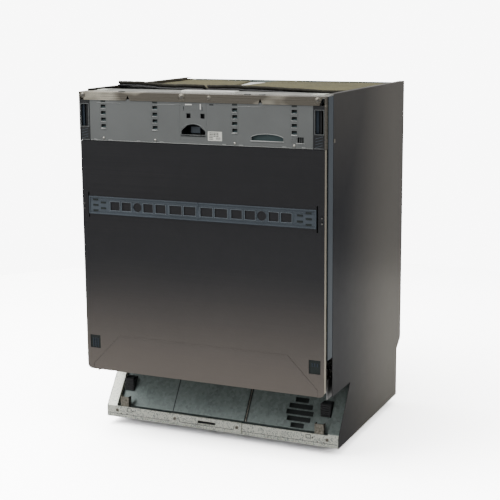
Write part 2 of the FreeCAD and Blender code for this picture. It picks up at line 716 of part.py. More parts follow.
def flat_filter():
    """Perforated filter plate lying in the mouth of the sump."""
    z = (tub_floor, tub_floor + d.filter_gauge)
    centre = (0, hub_y - d.filter_offset / 3)
    plate = rod("z", centre, d.sump_radius - d.arm_gap, z)
    span = (tub_low, tub_floor + d.post_height)
    holes = [rod("z", (0, hub_y), d.post_radius + d.fit_gap, span),
             rod("z", (0, hub_y - d.filter_offset), d.filter_radius + d.fit_gap, span)]
    return cut(plate, *holes)


def micro_filter():
    """Cylindrical micro filter that is turned to lift it out, with its handle."""
    spot = (0, hub_y - d.filter_offset)
    low = tub_floor - d.filter_depth
    cup = cut(rod("z", spot, d.filter_radius, (low, tub_floor + d.filter_gauge * 2)),
              rod("z", spot, d.filter_radius - d.filter_gauge,
                  (low + d.filter_gauge, tub_floor + d.filter_gauge * 3)))
    grip = box((-d.filter_radius + d.filter_gauge / 2, d.filter_radius - d.filter_gauge / 2),
               (spot[1] - d.filter_gauge, spot[1] + d.filter_gauge),
               (low + d.filter_depth / 2, tub_floor + d.filter_grip))
    return fuse(cup, grip)


def circulation_pump():
    """Wash pump: motor and volute lying across the base."""
    y = hub_y + d.sump_radius + d.arm_gap * 2 + d.pump_radius
    z = tub_low - d.sump_depth / 2 - d.pump_radius / 4
    motor = rod("x", (y, z), d.pump_radius * 0.8, (0, d.pump_length))
    volute = rod("x", (y, z), d.pump_radius, (-d.pump_radius, d.pump_radius / 2))
    return fuse(motor, volute)


def drain_pump():
    """Small pump that empties the sump."""
    y = hub_y + d.filter_offset
    x = d.sump_radius + d.drain_radius
    z = tub_low - d.sump_depth - d.drain_radius
    body = rod("x", (y, z), d.drain_radius, (x, x + d.drain_length))
    head = rod("x", (y, z), d.drain_radius * 1.2, (x - d.drain_radius / 2, x + 1))
    return fuse(body, head)


def supply_tube():
    """Flat duct on the tub's rear wall that feeds the upper spray arms."""
    y = (tub_back - d.tub_wall - d.arm_thick, tub_back - d.tub_wall)
    riser = rounded(box((-d.arm_tip, d.arm_tip), y,
                        (tub_floor + d.ledge_height, upper_rim + d.rail_height)), "z", d.sump_wall)
    outlet = taper("y", (0, feed_z()), d.drain_radius / 2, d.drain_radius * 0.7,
                   (y[0] - d.arm_tip, y[0] + 1))
    return fuse(riser, outlet)


def spray_arm(radius, low, bore):
    """Hollow-looking spray arm: two tapered blades on a hub that turns on its post."""
    tip, root = d.arm_tip, d.arm_root
    outline = []
    for side in (1, -1):
        outline += [(0, hub_y - side * root), (side * radius, hub_y - side * tip),
                    (side * (radius + tip / 2), hub_y), (side * radius, hub_y + side * tip)]
    blade = pad("XY", [outline], (low, low + d.arm_thick))
    hub = rod("z", (0, hub_y), bore + d.arm_tip, (low - d.arm_gap, low + d.arm_thick + d.arm_gap))
    hole = rod("z", (0, hub_y), bore + d.run_gap, (low - d.arm_radius / 4, low + d.arm_radius / 4))
    nozzles = []
    for side in (-1, 1):
        for step in range(1, 6):
            x = side * (radius * step / 6 + d.arm_gap)
            nozzles.append(taper("z", (x, hub_y), d.arm_gap, d.arm_gap / 2,
                                 (low + d.arm_thick - 1, low + d.arm_thick + d.arm_gap / 2)))
    return cut(fuse(blade, hub, *nozzles), hole)


def lower_arm_low():
    """Height of the lower spray arm's underside."""
    return tub_floor + d.ledge_height + d.arm_thick + d.arm_gap / 2


def upper_arm_low():
    """Height of the upper spray arm's underside."""
    return upper_floor - d.wire - d.arm_thick * 3


def top_arm_low():
    """Height of the ceiling spray arm's underside."""
    return tub_high - d.tub_wall - d.arm_thick * 2


def rack_mat(x_half, y, floor):
    """Floor of a rack: crossing wires welded to each other, ending against the side grids."""
    r = d.wire
    across, along = DRIVING["wires_across"], DRIVING["wires_along"]
    edge = r * RAIL
    bars = []
    for index in range(1, across - 1):
        x = -x_half + 2 * x_half * index / (across - 1)
        bars.append(rod("y", (x, floor), r, (y[0] + edge, y[1] - edge)))
    for index in range(1, along - 1):
        spot = y[0] + (y[1] - y[0]) * index / (along - 1)
        bars.append(rod("x", (spot, floor + r), r * CROSS, (-x_half + edge, x_half - edge)))
    return fuse(*bars)


def rack_sides(x_half, y, floor, rim):
    """The four side grids of a rack: upright wires between a bottom, a middle and a rim wire."""
    r = d.wire
    edge = r * RAIL
    heights = (floor, (floor + rim) / 2, rim)
    across, along = DRIVING["wires_across"], DRIVING["wires_along"]
    grids = []
    for end in y:
        bars = [rod("x", (end, height), edge, (-x_half - r, x_half + r)) for height in heights]
        for index in range(across):
            x = -x_half + 2 * x_half * index / (across - 1)
            bars.append(rod("z", (x, end), r * CROSS, (floor, rim)))
        grids.append(fuse(*bars))
    for side in (-1, 1):
        bars = [rod("y", (side * x_half, height), edge, (y[0] + edge, y[1] - edge))
                for height in heights]
        for index in range(1, along - 1):
            spot = y[0] + (y[1] - y[0]) * index / (along - 1)
            bars.append(rod("z", (side * x_half, spot), r * CROSS, (floor, rim)))
        grids.append(fuse(*bars))
    return grids


def tines(x_half, y, floor, height, clear=None):
    """Rows of upright plate tines, each on its own base wire, kept clear of a basket."""
    r = d.wire * CROSS
    across, rows = DRIVING["wires_across"], DRIVING["tine_rows"]
    grids = []
    for row in range(rows):
        spot = y[0] + (y[1] - y[0]) * (2.5 + 2 * row - row / rows) / (DRIVING["wires_along"] - 1)
        base = floor + d.wire + r
        bars = []
        for index in range(1, across - 1):
            x = -x_half + 2 * x_half * index / (across - 1)
            if clear and x.value > clear[0].value and spot.value < clear[1].value:
                continue
            bars.append(rod("z", (x, spot), r, (base, floor + height)))
            last = x
        first = -x_half + 2 * x_half / (across - 1)
        grids.append(fuse(rod("x", (spot, base), r, (first - d.wire, last + d.wire)), *bars))
    return grids


def feed_z():
    """Height of the upper rack's feed pipe and the outlet that it docks with."""
    return upper_floor - d.wire * RAIL - d.post_radius * FEED


lower_y = (tub_front + d.lower_front, tub_back - d.lower_back)
upper_y = (tub_front + d.upper_front, tub_back - d.upper_back)
wheel_ys = (lower_y[0] + d.wheel_front, lower_y[1] - d.wheel_rear)
wheel_x = (tub_half - d.tub_wall - d.ledge_width / 2 - d.wheel_width / 2,
           tub_half - d.tub_wall - d.ledge_width / 2 + d.wheel_width / 2)


def lower_rack():
    """Lower rack of coated wire, with its wheel carriers and axle stubs."""
    x, y = basket_spans()
    pieces = [rack_mat(lower_half, lower_y, lower_floor)]
    pieces += rack_sides(lower_half, lower_y, lower_floor, lower_rim)
    pieces += tines(lower_half, lower_y, lower_floor, d.tine_height,
                    (x[0] - d.wire * 2, y[1] + d.wire * 2))
    face = lower_half + d.wire * RAIL
    for side in (-1, 1):
        for y in wheel_ys:
            plate = box((side * face, side * (face + d.carrier_gauge)),
                        (y - d.wheel_width, y + d.wheel_width),
                        (wheel_z - d.wheel_width, lower_floor + d.wheel_radius))
            axle = rod("x", (y, wheel_z), d.axle_radius,
                       (side * (face + 1), side * (wheel_x[1] + d.tray_gauge)))
            pieces.append(fuse(plate, axle))
    return group(*pieces)


def rack_wheels(y):
    """A pair of wheels on one axis line, each turning on its stub."""
    wheels = []
    for side in (-1, 1):
        x = (side * wheel_x[0], side * wheel_x[1])
        tyre = rod("x", (y, wheel_z), d.wheel_radius, x)
        bore = rod("x", (y, wheel_z), d.axle_radius + d.run_gap,
                   (x[0] - side, x[1] + side))
        ring = d.hub_hole
        hollows = [rod("x", (y + dy, wheel_z + dz), d.axle_radius, (x[0] - side, x[1] + side))
                   for dy, dz in ((ring, 0), (-ring, 0), (0, ring), (0, -ring))]
        wheels.append(cut(tyre, bore, *hollows))
    return group(*wheels)


def upper_rack():
    """Upper rack of coated wire with glide shoes for its tracks and the feed pipe of its arm."""
    pieces = [rack_mat(upper_half, upper_y, upper_floor)]
    pieces += rack_sides(upper_half, upper_y, upper_floor, upper_rim)
    pieces += tines(upper_half, upper_y, upper_floor, d.tine_height * 0.7)
    shoe_z = (track_low + d.track_gauge + 1, track_low + d.track_height - d.track_gauge - 1)
    for side in (-1, 1):
        for y in (upper_y[0] + d.wheel_front, upper_y[1] - d.wheel_front):
            pieces.append(box((side * (upper_half + d.wire * RAIL),
                               side * (tub_half - d.tub_wall - d.track_gauge - 1)),
                              (y - d.wheel_radius, y + d.wheel_radius), shoe_z))
    pipe = rod("z", (0, hub_y), d.post_radius * PIPE,
               (upper_arm_low() - d.arm_gap * 2, upper_floor - d.wire))
    feed = rod("y", (0, feed_z()), d.post_radius * FEED,
               (hub_y + d.post_radius * PIPE,
                tub_back - d.tub_wall - d.arm_thick - d.arm_tip - d.arm_gap))
    return group(pipe, feed, *pieces)


def upper_rack_tracks():
    """Two channels on the tub's side walls that guide the upper rack."""
    tracks = []
    for side in (-1, 1):
        wall = side * (tub_half - d.tub_wall)
        z = (track_low, track_low + d.track_height)
        y = (tub_front + d.track_height, tub_back - d.track_height)
        solid = box((wall - side * d.track_reach, wall), y, z)
        groove = box((wall - side * (d.track_reach + 1), wall - side * d.track_gauge),
                     (y[0] - 1, y[1] + 1), (z[0] + d.track_gauge, z[1] - d.track_gauge))
        tracks.append(cut(solid, groove))
    return group(*tracks)


def basket_spans():
    """Across and depth spans of the cutlery basket, in the rack's front right corner."""
    right = lower_half - d.wire * 3
    start = lower_y[0] + d.wire * 3
    return (right - d.basket_width, right), (start, start + d.basket_depth)


def cutlery_basket():
    """Open cutlery basket standing in the lower rack, with a divider."""
    wall = d.basket_wall
    x, y = basket_spans()
    low = lower_floor + d.wire * (1 + CROSS)
    z = (low, low + d.basket_height)
    shell = cut(box(x, y, z), box((x[0] + wall, x[1] - wall), (y[0] + wall, y[1] - wall),
                                  (z[0] + wall, z[1] + 1)))
    middle = (x[0] + x[1]) / 2
    divider = box((middle - wall / 2, middle + wall / 2), (y[0] + wall / 2, y[1] - wall / 2),
                  (z[0] + wall / 2, z[1]))
    slots = []
    for row in range(3):
        for column in range(8):
            spot = y[0] + d.basket_depth * (column + 0.5) / 8
            height = z[0] + d.basket_height * (row + 0.25) / 3
            for wall_span in ((x[0] - 1, x[0] + wall * 1.25), (x[1] - wall * 1.25, x[1] + 1)):
                slots.append(box(wall_span, (spot - d.arm_gap, spot + d.arm_gap),
                                 (height, height + d.basket_height / 6)))
    return cut(fuse(shell, divider), *slots)


# ---------------------------------------------------------------- door
def door_outer_panel():
    """Front skin of the door with side lips, hinge windows, rail slits and the kick clearance fold."""
    x = door_half
    corner = d.skin_corner
    third = corner / 3
    outline = [(-x, skin_top), (-x, d.door_bottom + corner),
               (-x + third, d.door_bottom + third), (-x + corner, d.door_bottom),
               (x - corner, d.door_bottom), (x - third, d.door_bottom + third),
               (x, d.door_bottom + corner), (x, skin_top)]
    loops = [outline]
    for side in (-1, 1):
        outer = side * (x - d.hole_inset)
        inner = side * (x - d.hole_inset - d.hole_width)
        hole_low = d.door_bottom + d.hole_rise
        loops.append(rectangle((inner, outer), (hole_low, hole_low + d.hole_height)))
        slit = side * (rail_half + d.slit_width / 2 + d.fit_gap)
        loops.append(rectangle((slit - d.slit_width / 2, slit + d.slit_width / 2),
                               (rail_centre - d.rail_height / 2 - d.slit_reach,
                                rail_centre + d.rail_height / 2 + d.slit_reach)))
        for step in (-1, 1):
            loops.append((side * (x - d.pinhole_inset), rail_centre + step * d.pinhole_inset,
                          d.pinhole_radius))
    skin = pad("XZ", loops, (skin_face, skin_face + d.sheet_gauge))
    lips = [box((side * (x - d.sheet_gauge), side * x), (skin_face, skin_face + d.lip_depth),
                (d.door_bottom + corner, skin_top)) for side in (-1, 1)]
    sill = box((-x + corner, x - corner), (skin_face, skin_face + d.lip_depth),
               (d.door_bottom, d.door_bottom + d.sheet_gauge))
    low, fold, high = d.door_bottom, d.door_bottom + d.crease_foot, d.door_bottom + d.crease_rise
    w, foot = d.crease_width, x - d.crease_inset
    shoulder = foot - d.crease_run
    path = [(-foot, low), (-foot, fold), (-shoulder, high),
            (shoulder, high), (foot, fold), (foot, low)]
    inner = [(foot - w, low), (foot - w, fold - w / 3),
             (shoulder - w / 3, high - w), (-shoulder + w / 3, high - w),
             (-foot + w, fold - w / 3), (-foot + w, low)]
    bead = pad("XZ", [path + inner], (skin_face - d.crease_proud, skin_face + d.sheet_gauge / 2))
    return fuse(skin, sill, bead, *lips)


def door_inner_panel():
    """Stainless inner door pan, with the dispenser's opening and the latch slot."""
    wall = d.sheet_gauge
    shell = cut(box((-pan_half, pan_half), (pan_front, pan_back), (pan_low, pan_high)),
                box((-pan_half + wall, pan_half - wall), (pan_front - 1, pan_back - wall),
                    (pan_low + wall, pan_high - wall)))
    gap = d.fit_gap
    opening = box((-d.dispenser_left - gap, d.dispenser_right + gap), (pan_back - 2, pan_back + 1),
                  (dispenser_low - gap, dispenser_high + gap))
    slot = box((d.latch_centre - d.channel_half, d.latch_centre + d.channel_half),
               (pan_back - 2, pan_back + 1), (tongue_low() - d.tongue_gauge, pan_high - wall))
    return cut(shell, opening, slot, *[box(*piece) for piece in button_wells()])


def button_spans():
    """Middle of each key on the door's top edge: power, programme, start."""
    return {"power_button": -d.power_across, "program_button": d.program_across,
            "start_button": d.start_across}


def button_wells():
    """Clear wells in the pan's top where the keys come through."""
    gap = d.button_gap
    y0 = skin_face + d.button_setback
    for centre in button_spans().values():
        yield ((centre - d.button_half - gap, centre + d.button_half + gap),
               (y0 - gap, y0 + d.button_depth + gap),
               (pan_high - d.sheet_gauge * 3, pan_high + 1))


def button(centre):
    """Key on the top edge of the door."""
    y0 = skin_face + d.button_setback
    high = door_top + d.button_proud
    key = box((centre - d.button_half, centre + d.button_half), (y0, y0 + d.button_depth),
              (high - d.button_length, high))
    return rounded(key, "z", d.tray_gauge)


def control_cover():
    """Plastic cover of the control section: slotted columns, latch arch and long finger recess."""
    x = cover_half
    high = door_top - d.cover_top_drop
    outline = rectangle((-x, x), (cover_bottom, high))
    loops = [outline]
    for centre in columns:
        for row in range(DRIVING["window_count"]):
            low = cover_bottom + d.window_rise + row * d.window_pitch
            loops.append(rectangle((centre - d.window_width / 2, centre + d.window_width / 2),
                                   (low, low + d.window_height)))
    middle, reach = d.latch_centre, d.arch_half
    sill, shoulder, crown = [cover_bottom + rise
                             for rise in (d.arch_sill, d.arch_shoulder, d.arch_crown)]
    loops.append([(middle - reach, sill), (middle + reach, sill), (middle + reach, shoulder),
                  (middle + reach / 2, crown - d.arch_dip), (middle, crown),
                  (middle - reach / 2, crown - d.arch_dip), (middle - reach, shoulder)])
    for offset in (-d.square_left, d.square_right):
        loops.append(rectangle((middle + offset - d.square_width / 2,
                                middle + offset + d.square_width / 2),
                               (cover_bottom + d.square_low, cover_bottom + d.square_high)))
    span = d.recess_right - d.recess_left
    sill, shoulder, crown = [cover_bottom + rise
                             for rise in (d.recess_sill, d.recess_shoulder, d.recess_crown)]
    loops.append([(d.recess_left, sill), (d.recess_right, sill), (d.recess_right, shoulder),
                  (d.recess_right - span / 5, crown - d.recess_dip),
                  (d.recess_left + span / 2, crown),
                  (d.recess_left + span / 5, crown - d.recess_dip), (d.recess_left, shoulder)])
    loops.append(rectangle((d.corner_hole_left, d.corner_hole_right),
                           (cover_bottom + d.corner_hole_low, cover_bottom + d.corner_hole_high)))
    face = skin_face - d.fit_gap
    plate = pad("XZ", loops, (face, face + d.cover_gauge))
    rim = cut(box((-x, x), (face, face + d.cover_rim), (cover_bottom, high)),
              box((-x + d.cover_gauge, x - d.cover_gauge), (face - 1, face + d.cover_rim + 1),
                  (cover_bottom + d.cover_gauge, high - d.cover_gauge)))
    return fuse(plate, rim)


def control_end_caps():
    """Dark plastic ends of the control section, each with a recess that deepens beside the pan."""
    caps = []
    inner, outer = cover_half + d.fit_gap, door_half - d.sheet_gauge - d.fit_gap
    beside = pan_half + d.fit_gap
    y = (skin_face, pan_front - d.fit_gap)
    z = (cover_bottom, door_top - d.strip_height - d.fit_gap)
    opening = (cover_bottom + d.cap_recess_low, cover_bottom + d.cap_recess_high)
    for side in (-1, 1):
        shallow = box((side * inner, side * outer), y, z)
        deep = box((side * beside, side * outer), (y[0], y[0] + d.cap_depth), z)
        recess = box((side * (inner + d.cap_gauge), side * (outer - d.cap_gauge)),
                     (y[0] - 1, y[1] - d.cap_gauge), opening)
        well = box((side * (beside + d.cap_gauge), side * (outer - d.cap_gauge)),
                   (y[0] - 1, y[0] + d.cap_depth - d.cap_gauge), opening)
        caps.append(cut(fuse(shallow, deep), recess, well))
    return group(*caps)


def control_strip():
    """Bent steel strip: narrow front face with V notches, the door's top face and two cheeks."""
    gauge = d.sheet_gauge
    face = skin_face - d.strip_back
    low = door_top - d.strip_height
    x, slant = strip_half, d.strip_slant
    edge = [(-(x - slant), low)]
    for centre in (-d.notch_left, d.notch_right):
        edge += [(centre - d.notch_half, low), (centre, low + d.notch_depth),
                 (centre + d.notch_half, low)]
    edge += [(x - slant, low), (x, door_top), (-x, door_top)]
    strip = pad("XZ", [edge], (face, face + gauge))
    y0 = skin_face + d.button_setback
    gap = d.button_gap
    loops = [rectangle((-door_half, door_half), (face, face + d.strip_top_depth))]
    for centre in button_spans().values():
        loops.append(rectangle((centre - d.button_half - gap, centre + d.button_half + gap),
                               (y0 - gap, y0 + d.button_depth + gap)))
    lid = pad("XY", loops, (door_top - gauge, door_top))
    cheeks = [box((side * (door_half - gauge), side * door_half),
                  (face, face + d.cheek_depth), (skin_top + d.fit_gap, door_top)) for side in (-1, 1)]
    return fuse(strip, lid, *cheeks)


def mounting_rail():
    """Plastic rail that carries the furniture door: windows, slots and two round holes."""
    z0 = rail_centre
    x, tall = rail_half, d.rail_height / 2
    loops = [rectangle((-x, x), (z0 - tall, z0 + tall))]
    for side in (-1, 1):
        for number in range(1, DRIVING["rail_windows"] + 1):
            near, far = getattr(d, "rail_near_%d" % number), getattr(d, "rail_far_%d" % number)
            loops.append(rectangle((side * near, side * far),
                                   (z0 - d.rail_window / 2, z0 + d.rail_window / 2)))
        loops.append((side * d.rail_circle_centre, z0, d.rail_circle))
        pair, trio = d.slot_pair_rise, d.slot_trio_rise
        for centre, heights in ((x - d.slot_pair_inset, (-pair, pair)),
                                (x - d.slot_trio_inset, (-trio, 0, trio))):
            for height in heights:
                loops.append(rectangle((side * centre - d.rail_slot_length / 2,
                                        side * centre + d.rail_slot_length / 2),
                                       (z0 + height - d.rail_slot_height / 2,
                                        z0 + height + d.rail_slot_height / 2)))
    web = pad("XZ", loops, (skin_face - d.rail_web, skin_face))
    rims = []
    for side in (-1, 1):
        rims.append(box((-x, x), (front, skin_face),
                        (z0 + side * tall, z0 + side * (tall - d.rail_rim))))
        rims.append(box((side * x, side * (x - d.rail_rim)), (front, skin_face),
                        (z0 - tall, z0 + tall)))
        inner = tall - d.rail_rim * 3
        rims.append(box((-x + d.rail_rim, x - d.rail_rim), (front + d.rail_bead_drop, skin_face),
                        (z0 + side * inner, z0 + side * (inner - d.rail_web / 2 - d.rail_bead_drop))))
    return fuse(web, *rims)


def tongue_low():
    """Underside of the striker's tongue."""
    return door_top - d.tongue_top_drop - d.tongue_gauge


def latch_striker():
    """Steel tongue on the cross member that the door latch closes on."""
    x = d.latch_centre
    tongue = box((x - d.tongue_half, x + d.tongue_half),
                 (hinge_y - d.tongue_length, hinge_y), (tongue_low(), tongue_low() + d.tongue_gauge))
    plate = box((x - d.tongue_half * 2, x + d.tongue_half * 2),
                (hinge_y - d.sheet_gauge, hinge_y), (tongue_low(), member_top - d.sheet_gauge))
    return fuse(tongue, plate)


rocker_pivot = (pan_back - d.rocker_length - d.rocker_pin - d.tongue_gap,
                tongue_low() - d.tongue_gap - d.rocker_height / 2)


def latch_housing():
    """Plastic latch body behind the cover: channel for the tongue, and the hand pocket below."""
    x = d.latch_centre
    high = pan_high - d.sheet_gauge - d.fit_gap
    y = (skin_face + d.cover_rim, pan_back - d.housing_back_gap)
    body = box((x - d.housing_half, x + d.housing_half), y, (housing_low, high))
    channel = box((x - d.channel_half, x + d.channel_half), (y[0] + d.channel_wall, y[1] + 1),
                  (high - d.channel_floor, high + 1))
    pocket = box((x - d.arch_half, x + d.arch_half), (y[0] - 1, y[1] - d.pocket_wall),
                 (cover_bottom + d.arch_sill - d.pocket_room,
                  cover_bottom + d.arch_crown + d.pocket_room / 2))
    reach = d.channel_half + d.tray_gauge * 2
    pin = rod("x", rocker_pivot, d.rocker_pin + d.run_gap, (x - reach, x + reach))
    return cut(body, channel, pocket, pin)


def latch_rocker():
    """Sprung rocker that lies under the tongue and turns down to let it go."""
    x = d.latch_centre
    y, z = rocker_pivot
    top_face = tongue_low() - d.tongue_gap
    lever = box((x - d.rocker_half, x + d.rocker_half), (y - d.rocker_pin, y + d.rocker_length),
                (top_face - d.rocker_height, top_face))
    pin = rod("x", (y, z), d.rocker_pin,
              (x - d.channel_half - d.tray_gauge, x + d.channel_half + d.tray_gauge))
    return fuse(lever, pin)


def dispenser_face():
    """How far the dispenser stands into the tub."""
    return pan_back + d.dispenser_proud - d.lid_gauge * 2


def detergent_dispenser():
    """Detergent and rinse-aid dispenser in the inner door."""
    face = dispenser_face()
    body = box((-d.dispenser_left, d.dispenser_right), (pan_back - d.dispenser_sunk, face),
               (dispenser_low, dispenser_high))
    cup_left = -d.dispenser_left + d.cup_margin
    cup = box((cup_left, cup_left + d.lid_width - d.guide_high),
              (pan_back - d.dispenser_sunk + d.cup_floor, face + 1),
              (dispenser_low + d.cup_sill, dispenser_high - d.cup_head))
    guides = [box((-d.dispenser_left, d.dispenser_right),
                  (face - 1, face + d.lid_gauge + d.guide_proud), (z, z + d.guide_height))
              for z in (dispenser_low + d.guide_low, dispenser_high - d.guide_high)]
    return fuse(cut(body, cup), *guides)


def dispenser_lid():
    """Sliding lid over the detergent cup."""
    face = dispenser_face() + d.fit_gap
    left = -d.dispenser_left + d.lid_margin
    plate = box((left, left + d.lid_width), (face, face + d.lid_gauge),
                (dispenser_low + d.guide_low + d.guide_height + d.fit_gap,
                 dispenser_high - d.guide_high - d.fit_gap))
    thumb = box((left + d.thumb_margin, left + d.thumb_margin + d.thumb_width),
                (face, face + d.lid_gauge + d.guide_proud),
                (dispenser_low + d.thumb_low, dispenser_high - d.thumb_high))
    return fuse(plate, thumb)


def rinse_aid_cap():
    """Flap over the rinse-aid filler, hinged at its lower edge."""
    face = dispenser_face() + d.fit_gap
    right = d.dispenser_right - d.cap_margin
    high = dispenser_high - d.guide_high - d.fit_gap
    plate = box((right - d.cap_radius - d.cap_margin / 2, right), (face, face + d.lid_gauge),
                (high - d.cap_radius * 2, high - d.fit_gap))
    barrel = rod("x", (face + d.lid_gauge, high - d.cap_radius * 2), d.lid_gauge / 2,
                 (right - d.cap_radius, right - d.cap_margin / 2))
    return fuse(rounded(plate, "y", d.sump_wall), barrel)


def hinge_arms():
    """Flat door arms beside the pan, bored for the hinge pins, with the spring lever."""
    arms = []
    w = d.arm_width / 2
    for side in (-1, 1):
        span = (side * pan_half, side * (pan_half + d.arm_gauge))
        y, z = hinge_y, hinge_z
        outline = [(y - w, z - w / 2), (y + w / 2, z - w / 2),
                   (y + w / 2, z + d.lever_reach + w / 2),
                   (y - w / 2, z + d.lever_reach + w / 2), (y - w / 2, z + d.arm_height),
                   (pan_front + w, z + d.arm_height), (pan_front + w, z + w)]
        hole = (y, z, d.pin_radius + d.run_gap)
        hook = (y, z + d.lever_reach, d.spring_wire)
        arms.append(pad("YZ", [outline, hole, hook], span))
    return group(*arms)


def hinge_brackets():
    """Hinge plates fixed to the case, each with its pin and the spring's rear anchor."""
    brackets = []
    for side in (-1, 1):
        near = pan_half + d.arm_gauge + d.bracket_gap
        span = (side * near, side * (near + d.bracket_gauge))
        y, z = hinge_y, hinge_z
        rear = y + d.bracket_length
        outline = [(y - d.arm_width / 2, z - d.bracket_low), (rear, z - d.bracket_low),
                   (rear, z + d.anchor_high), (rear - d.anchor_length, z + d.anchor_high),
                   (rear - d.anchor_length, z + d.bracket_high),
                   (y - d.arm_width / 2, z + d.bracket_high)]
        plate = pad("YZ", [outline], span)
        pin = rod("x", (y, z), d.pin_radius, (side * (pan_half + d.fit_gap), side * (near + 1)))
        brackets.append(fuse(plate, pin))
    return group(*brackets)


def hinge_springs():
    """Door counterbalance springs, one a side, each drawn as its outer tube."""
    reach = pan_half + d.arm_gauge + d.spring_radius - d.fit_gap + d.bracket_gap / 2
    z = hinge_z + d.lever_reach
    start = hinge_y + d.spring_clear + d.arm_width / 2
    end = hinge_y + d.bracket_length - d.anchor_length - d.spring_wire
    inner = d.spring_radius - d.spring_wire
    return group(*[tube("y", (side * reach, z), d.spring_radius, inner, (start, end))
                   for side in (-1, 1)])


def door_screws():
    """Pan-head screws of the control strip and the pegs along the cover's lower edge."""
    face = skin_face - d.strip_back
    height = door_top - d.strip_height * 0.4
    spots = ((-(strip_half - d.end_screw_radius), d.end_screw_radius),
             (-d.boss_across, d.boss_screw_radius), (d.small_across, d.small_screw_radius),
             (strip_half - d.right_screw_inset, d.end_screw_radius))
    screws = [rod("y", (x, height), radius, (front, face)) for x, radius in spots]
    pegs = [rod("y", (x, cover_bottom + d.peg_rise), d.peg_radius,
                (front + d.fit_gap, skin_face - d.fit_gap)) for x in columns]
    return group(*screws, *pegs)


# ---------------------------------------------------------------- rear services
def inlet_valve():
    """Water inlet valve with its threaded spigot."""
    x, z = -(half - d.foot_across * 2), d.service_height
    y = back - d.tray_back_inset
    body = box((x - d.inlet_radius * 1.3, x + d.inlet_radius * 1.3), (y - d.inlet_radius * 3, y - 6),
               (z - d.inlet_radius * 1.2, z + d.inlet_radius * 2))
    spigot = tube("y", (x, z), d.inlet_radius, d.inlet_radius - d.sump_wall,
                  (y - 7, y - 7 + d.inlet_length + 7))
    return fuse(body, spigot)


def drain_outlet():
    """Spigot for the drain hose on a small mounting plate."""
    x, z = -(half - d.foot_across * 3.2), d.service_height
    y = back - d.tray_back_inset
    plate = box((x - d.drain_radius, x + d.drain_radius), (y - 6, y - 3),
                (z - d.drain_radius, z + d.drain_radius))
    spigot = tube("y", (x, z), d.drain_spigot, d.drain_spigot - d.sump_wall,
                  (y - d.inlet_length, y + d.inlet_length))
    return fuse(cut(plate, rod("y", (x, z), d.drain_spigot - d.sump_wall, (y - 7, y))), spigot)


def terminal_box():
    """Mains terminal box with its cable gland."""
    x = half - d.foot_across * 2
    y = back - d.tray_back_inset
    z = d.service_height + 8
    case = rounded(box((x - d.terminal_width / 2, x + d.terminal_width / 2),
                       (y - d.terminal_depth, y),
                       (z - d.terminal_height / 2, z + d.terminal_height / 2)), "y", d.sump_wall)
    gland = tube("y", (x, z - d.terminal_height / 4), d.filter_gauge * 5, d.filter_gauge * 2.4,
                 (y - 1, y + d.inlet_length / 2))
    return fuse(case, gland)


# ---------------------------------------------------------------- assembly
def build():
    """Make every sub-part and name it."""
    for side, name in ((-1, "left"), (1, "right")):
        node("side_panel_" + name, side_panel(side))
        node("side_trim_" + name, side_trim(side))
    node("rear_frame", rear_frame())
    node("top_cross_member", top_cross_member())
    node("worktop_brackets", worktop_brackets())
    node("lock_cover", lock_cover())
    node("front_base_plate", front_base_plate())
    node("service_cover", service_cover())
    node("base_pan", base_pan())
    for spot, name in zip(foot_spots(), ("foot_front_left", "foot_front_right", "foot_rear")):
        node(name, foot(spot))
    node("spring_tensioners", spring_tensioners())
    node("plinth_brackets", plinth_brackets())
    node("base_screws", base_screws())
    node("tub", tub())
    node("door_seal", door_seal())
    node("top_insulation", box((-(half - d.felt_side_inset), half - d.felt_side_inset),
                               (front + d.felt_front_inset, side_back - d.frame_gauge - 1),
                               (top - d.felt_top_inset - d.felt_thickness, top - d.felt_top_inset)))
    node("rear_insulation", box((-(tub_half - d.tub_corner), tub_half - d.tub_corner),
                                (tub_back + d.fit_gap, tub_back + d.fit_gap + d.rear_felt_thickness),
                                (tub_low + d.tub_corner, tub_high - d.tub_corner)))
    node("water_softener", water_softener())
    node("salt_cap", salt_cap())
    node("sump", sump())
    node("flat_filter", flat_filter())
    node("micro_filter", micro_filter())
    node("circulation_pump", circulation_pump())
    node("drain_pump", drain_pump())
    node("supply_tube", supply_tube())
    node("lower_spray_arm", spray_arm(d.arm_radius, lower_arm_low(), d.post_radius))
    node("upper_spray_arm", spray_arm(d.upper_arm_radius, upper_arm_low(), d.post_radius * PIPE))
    node("top_spray_arm", spray_arm(d.top_arm_radius, top_arm_low(), d.post_radius / 2))
    node("lower_rack", lower_rack())
    node("lower_rack_front_wheels", rack_wheels(wheel_ys[0]))
    node("lower_rack_rear_wheels", rack_wheels(wheel_ys[1]))
    node("cutlery_basket", cutlery_basket())
    node("upper_rack", upper_rack())
    node("upper_rack_tracks", upper_rack_tracks())
    node("latch_striker", latch_striker())
    node("hinge_brackets", hinge_brackets())
    node("door_outer_panel", door_outer_panel())
    node("door_inner_panel", door_inner_panel())
    node("control_cover", control_cover())
    node("control_end_caps", control_end_caps())
    node("control_strip", control_strip())
    node("mounting_rail", mounting_rail())
    node("latch_housing", latch_housing())
    node("latch_rocker", latch_rocker())
    node("detergent_dispenser", detergent_dispenser())
    node("dispenser_lid", dispenser_lid())
    node("rinse_aid_cap", rinse_aid_cap())
    node("hinge_arms", hinge_arms())
    node("hinge_springs", hinge_springs())
    node("door_screws", door_screws())
    for name, centre in button_spans().items():
        node(name, button(centre))
    node("inlet_valve", inlet_valve())
    node("drain_outlet", drain_outlet())
    node("terminal_box", terminal_box())


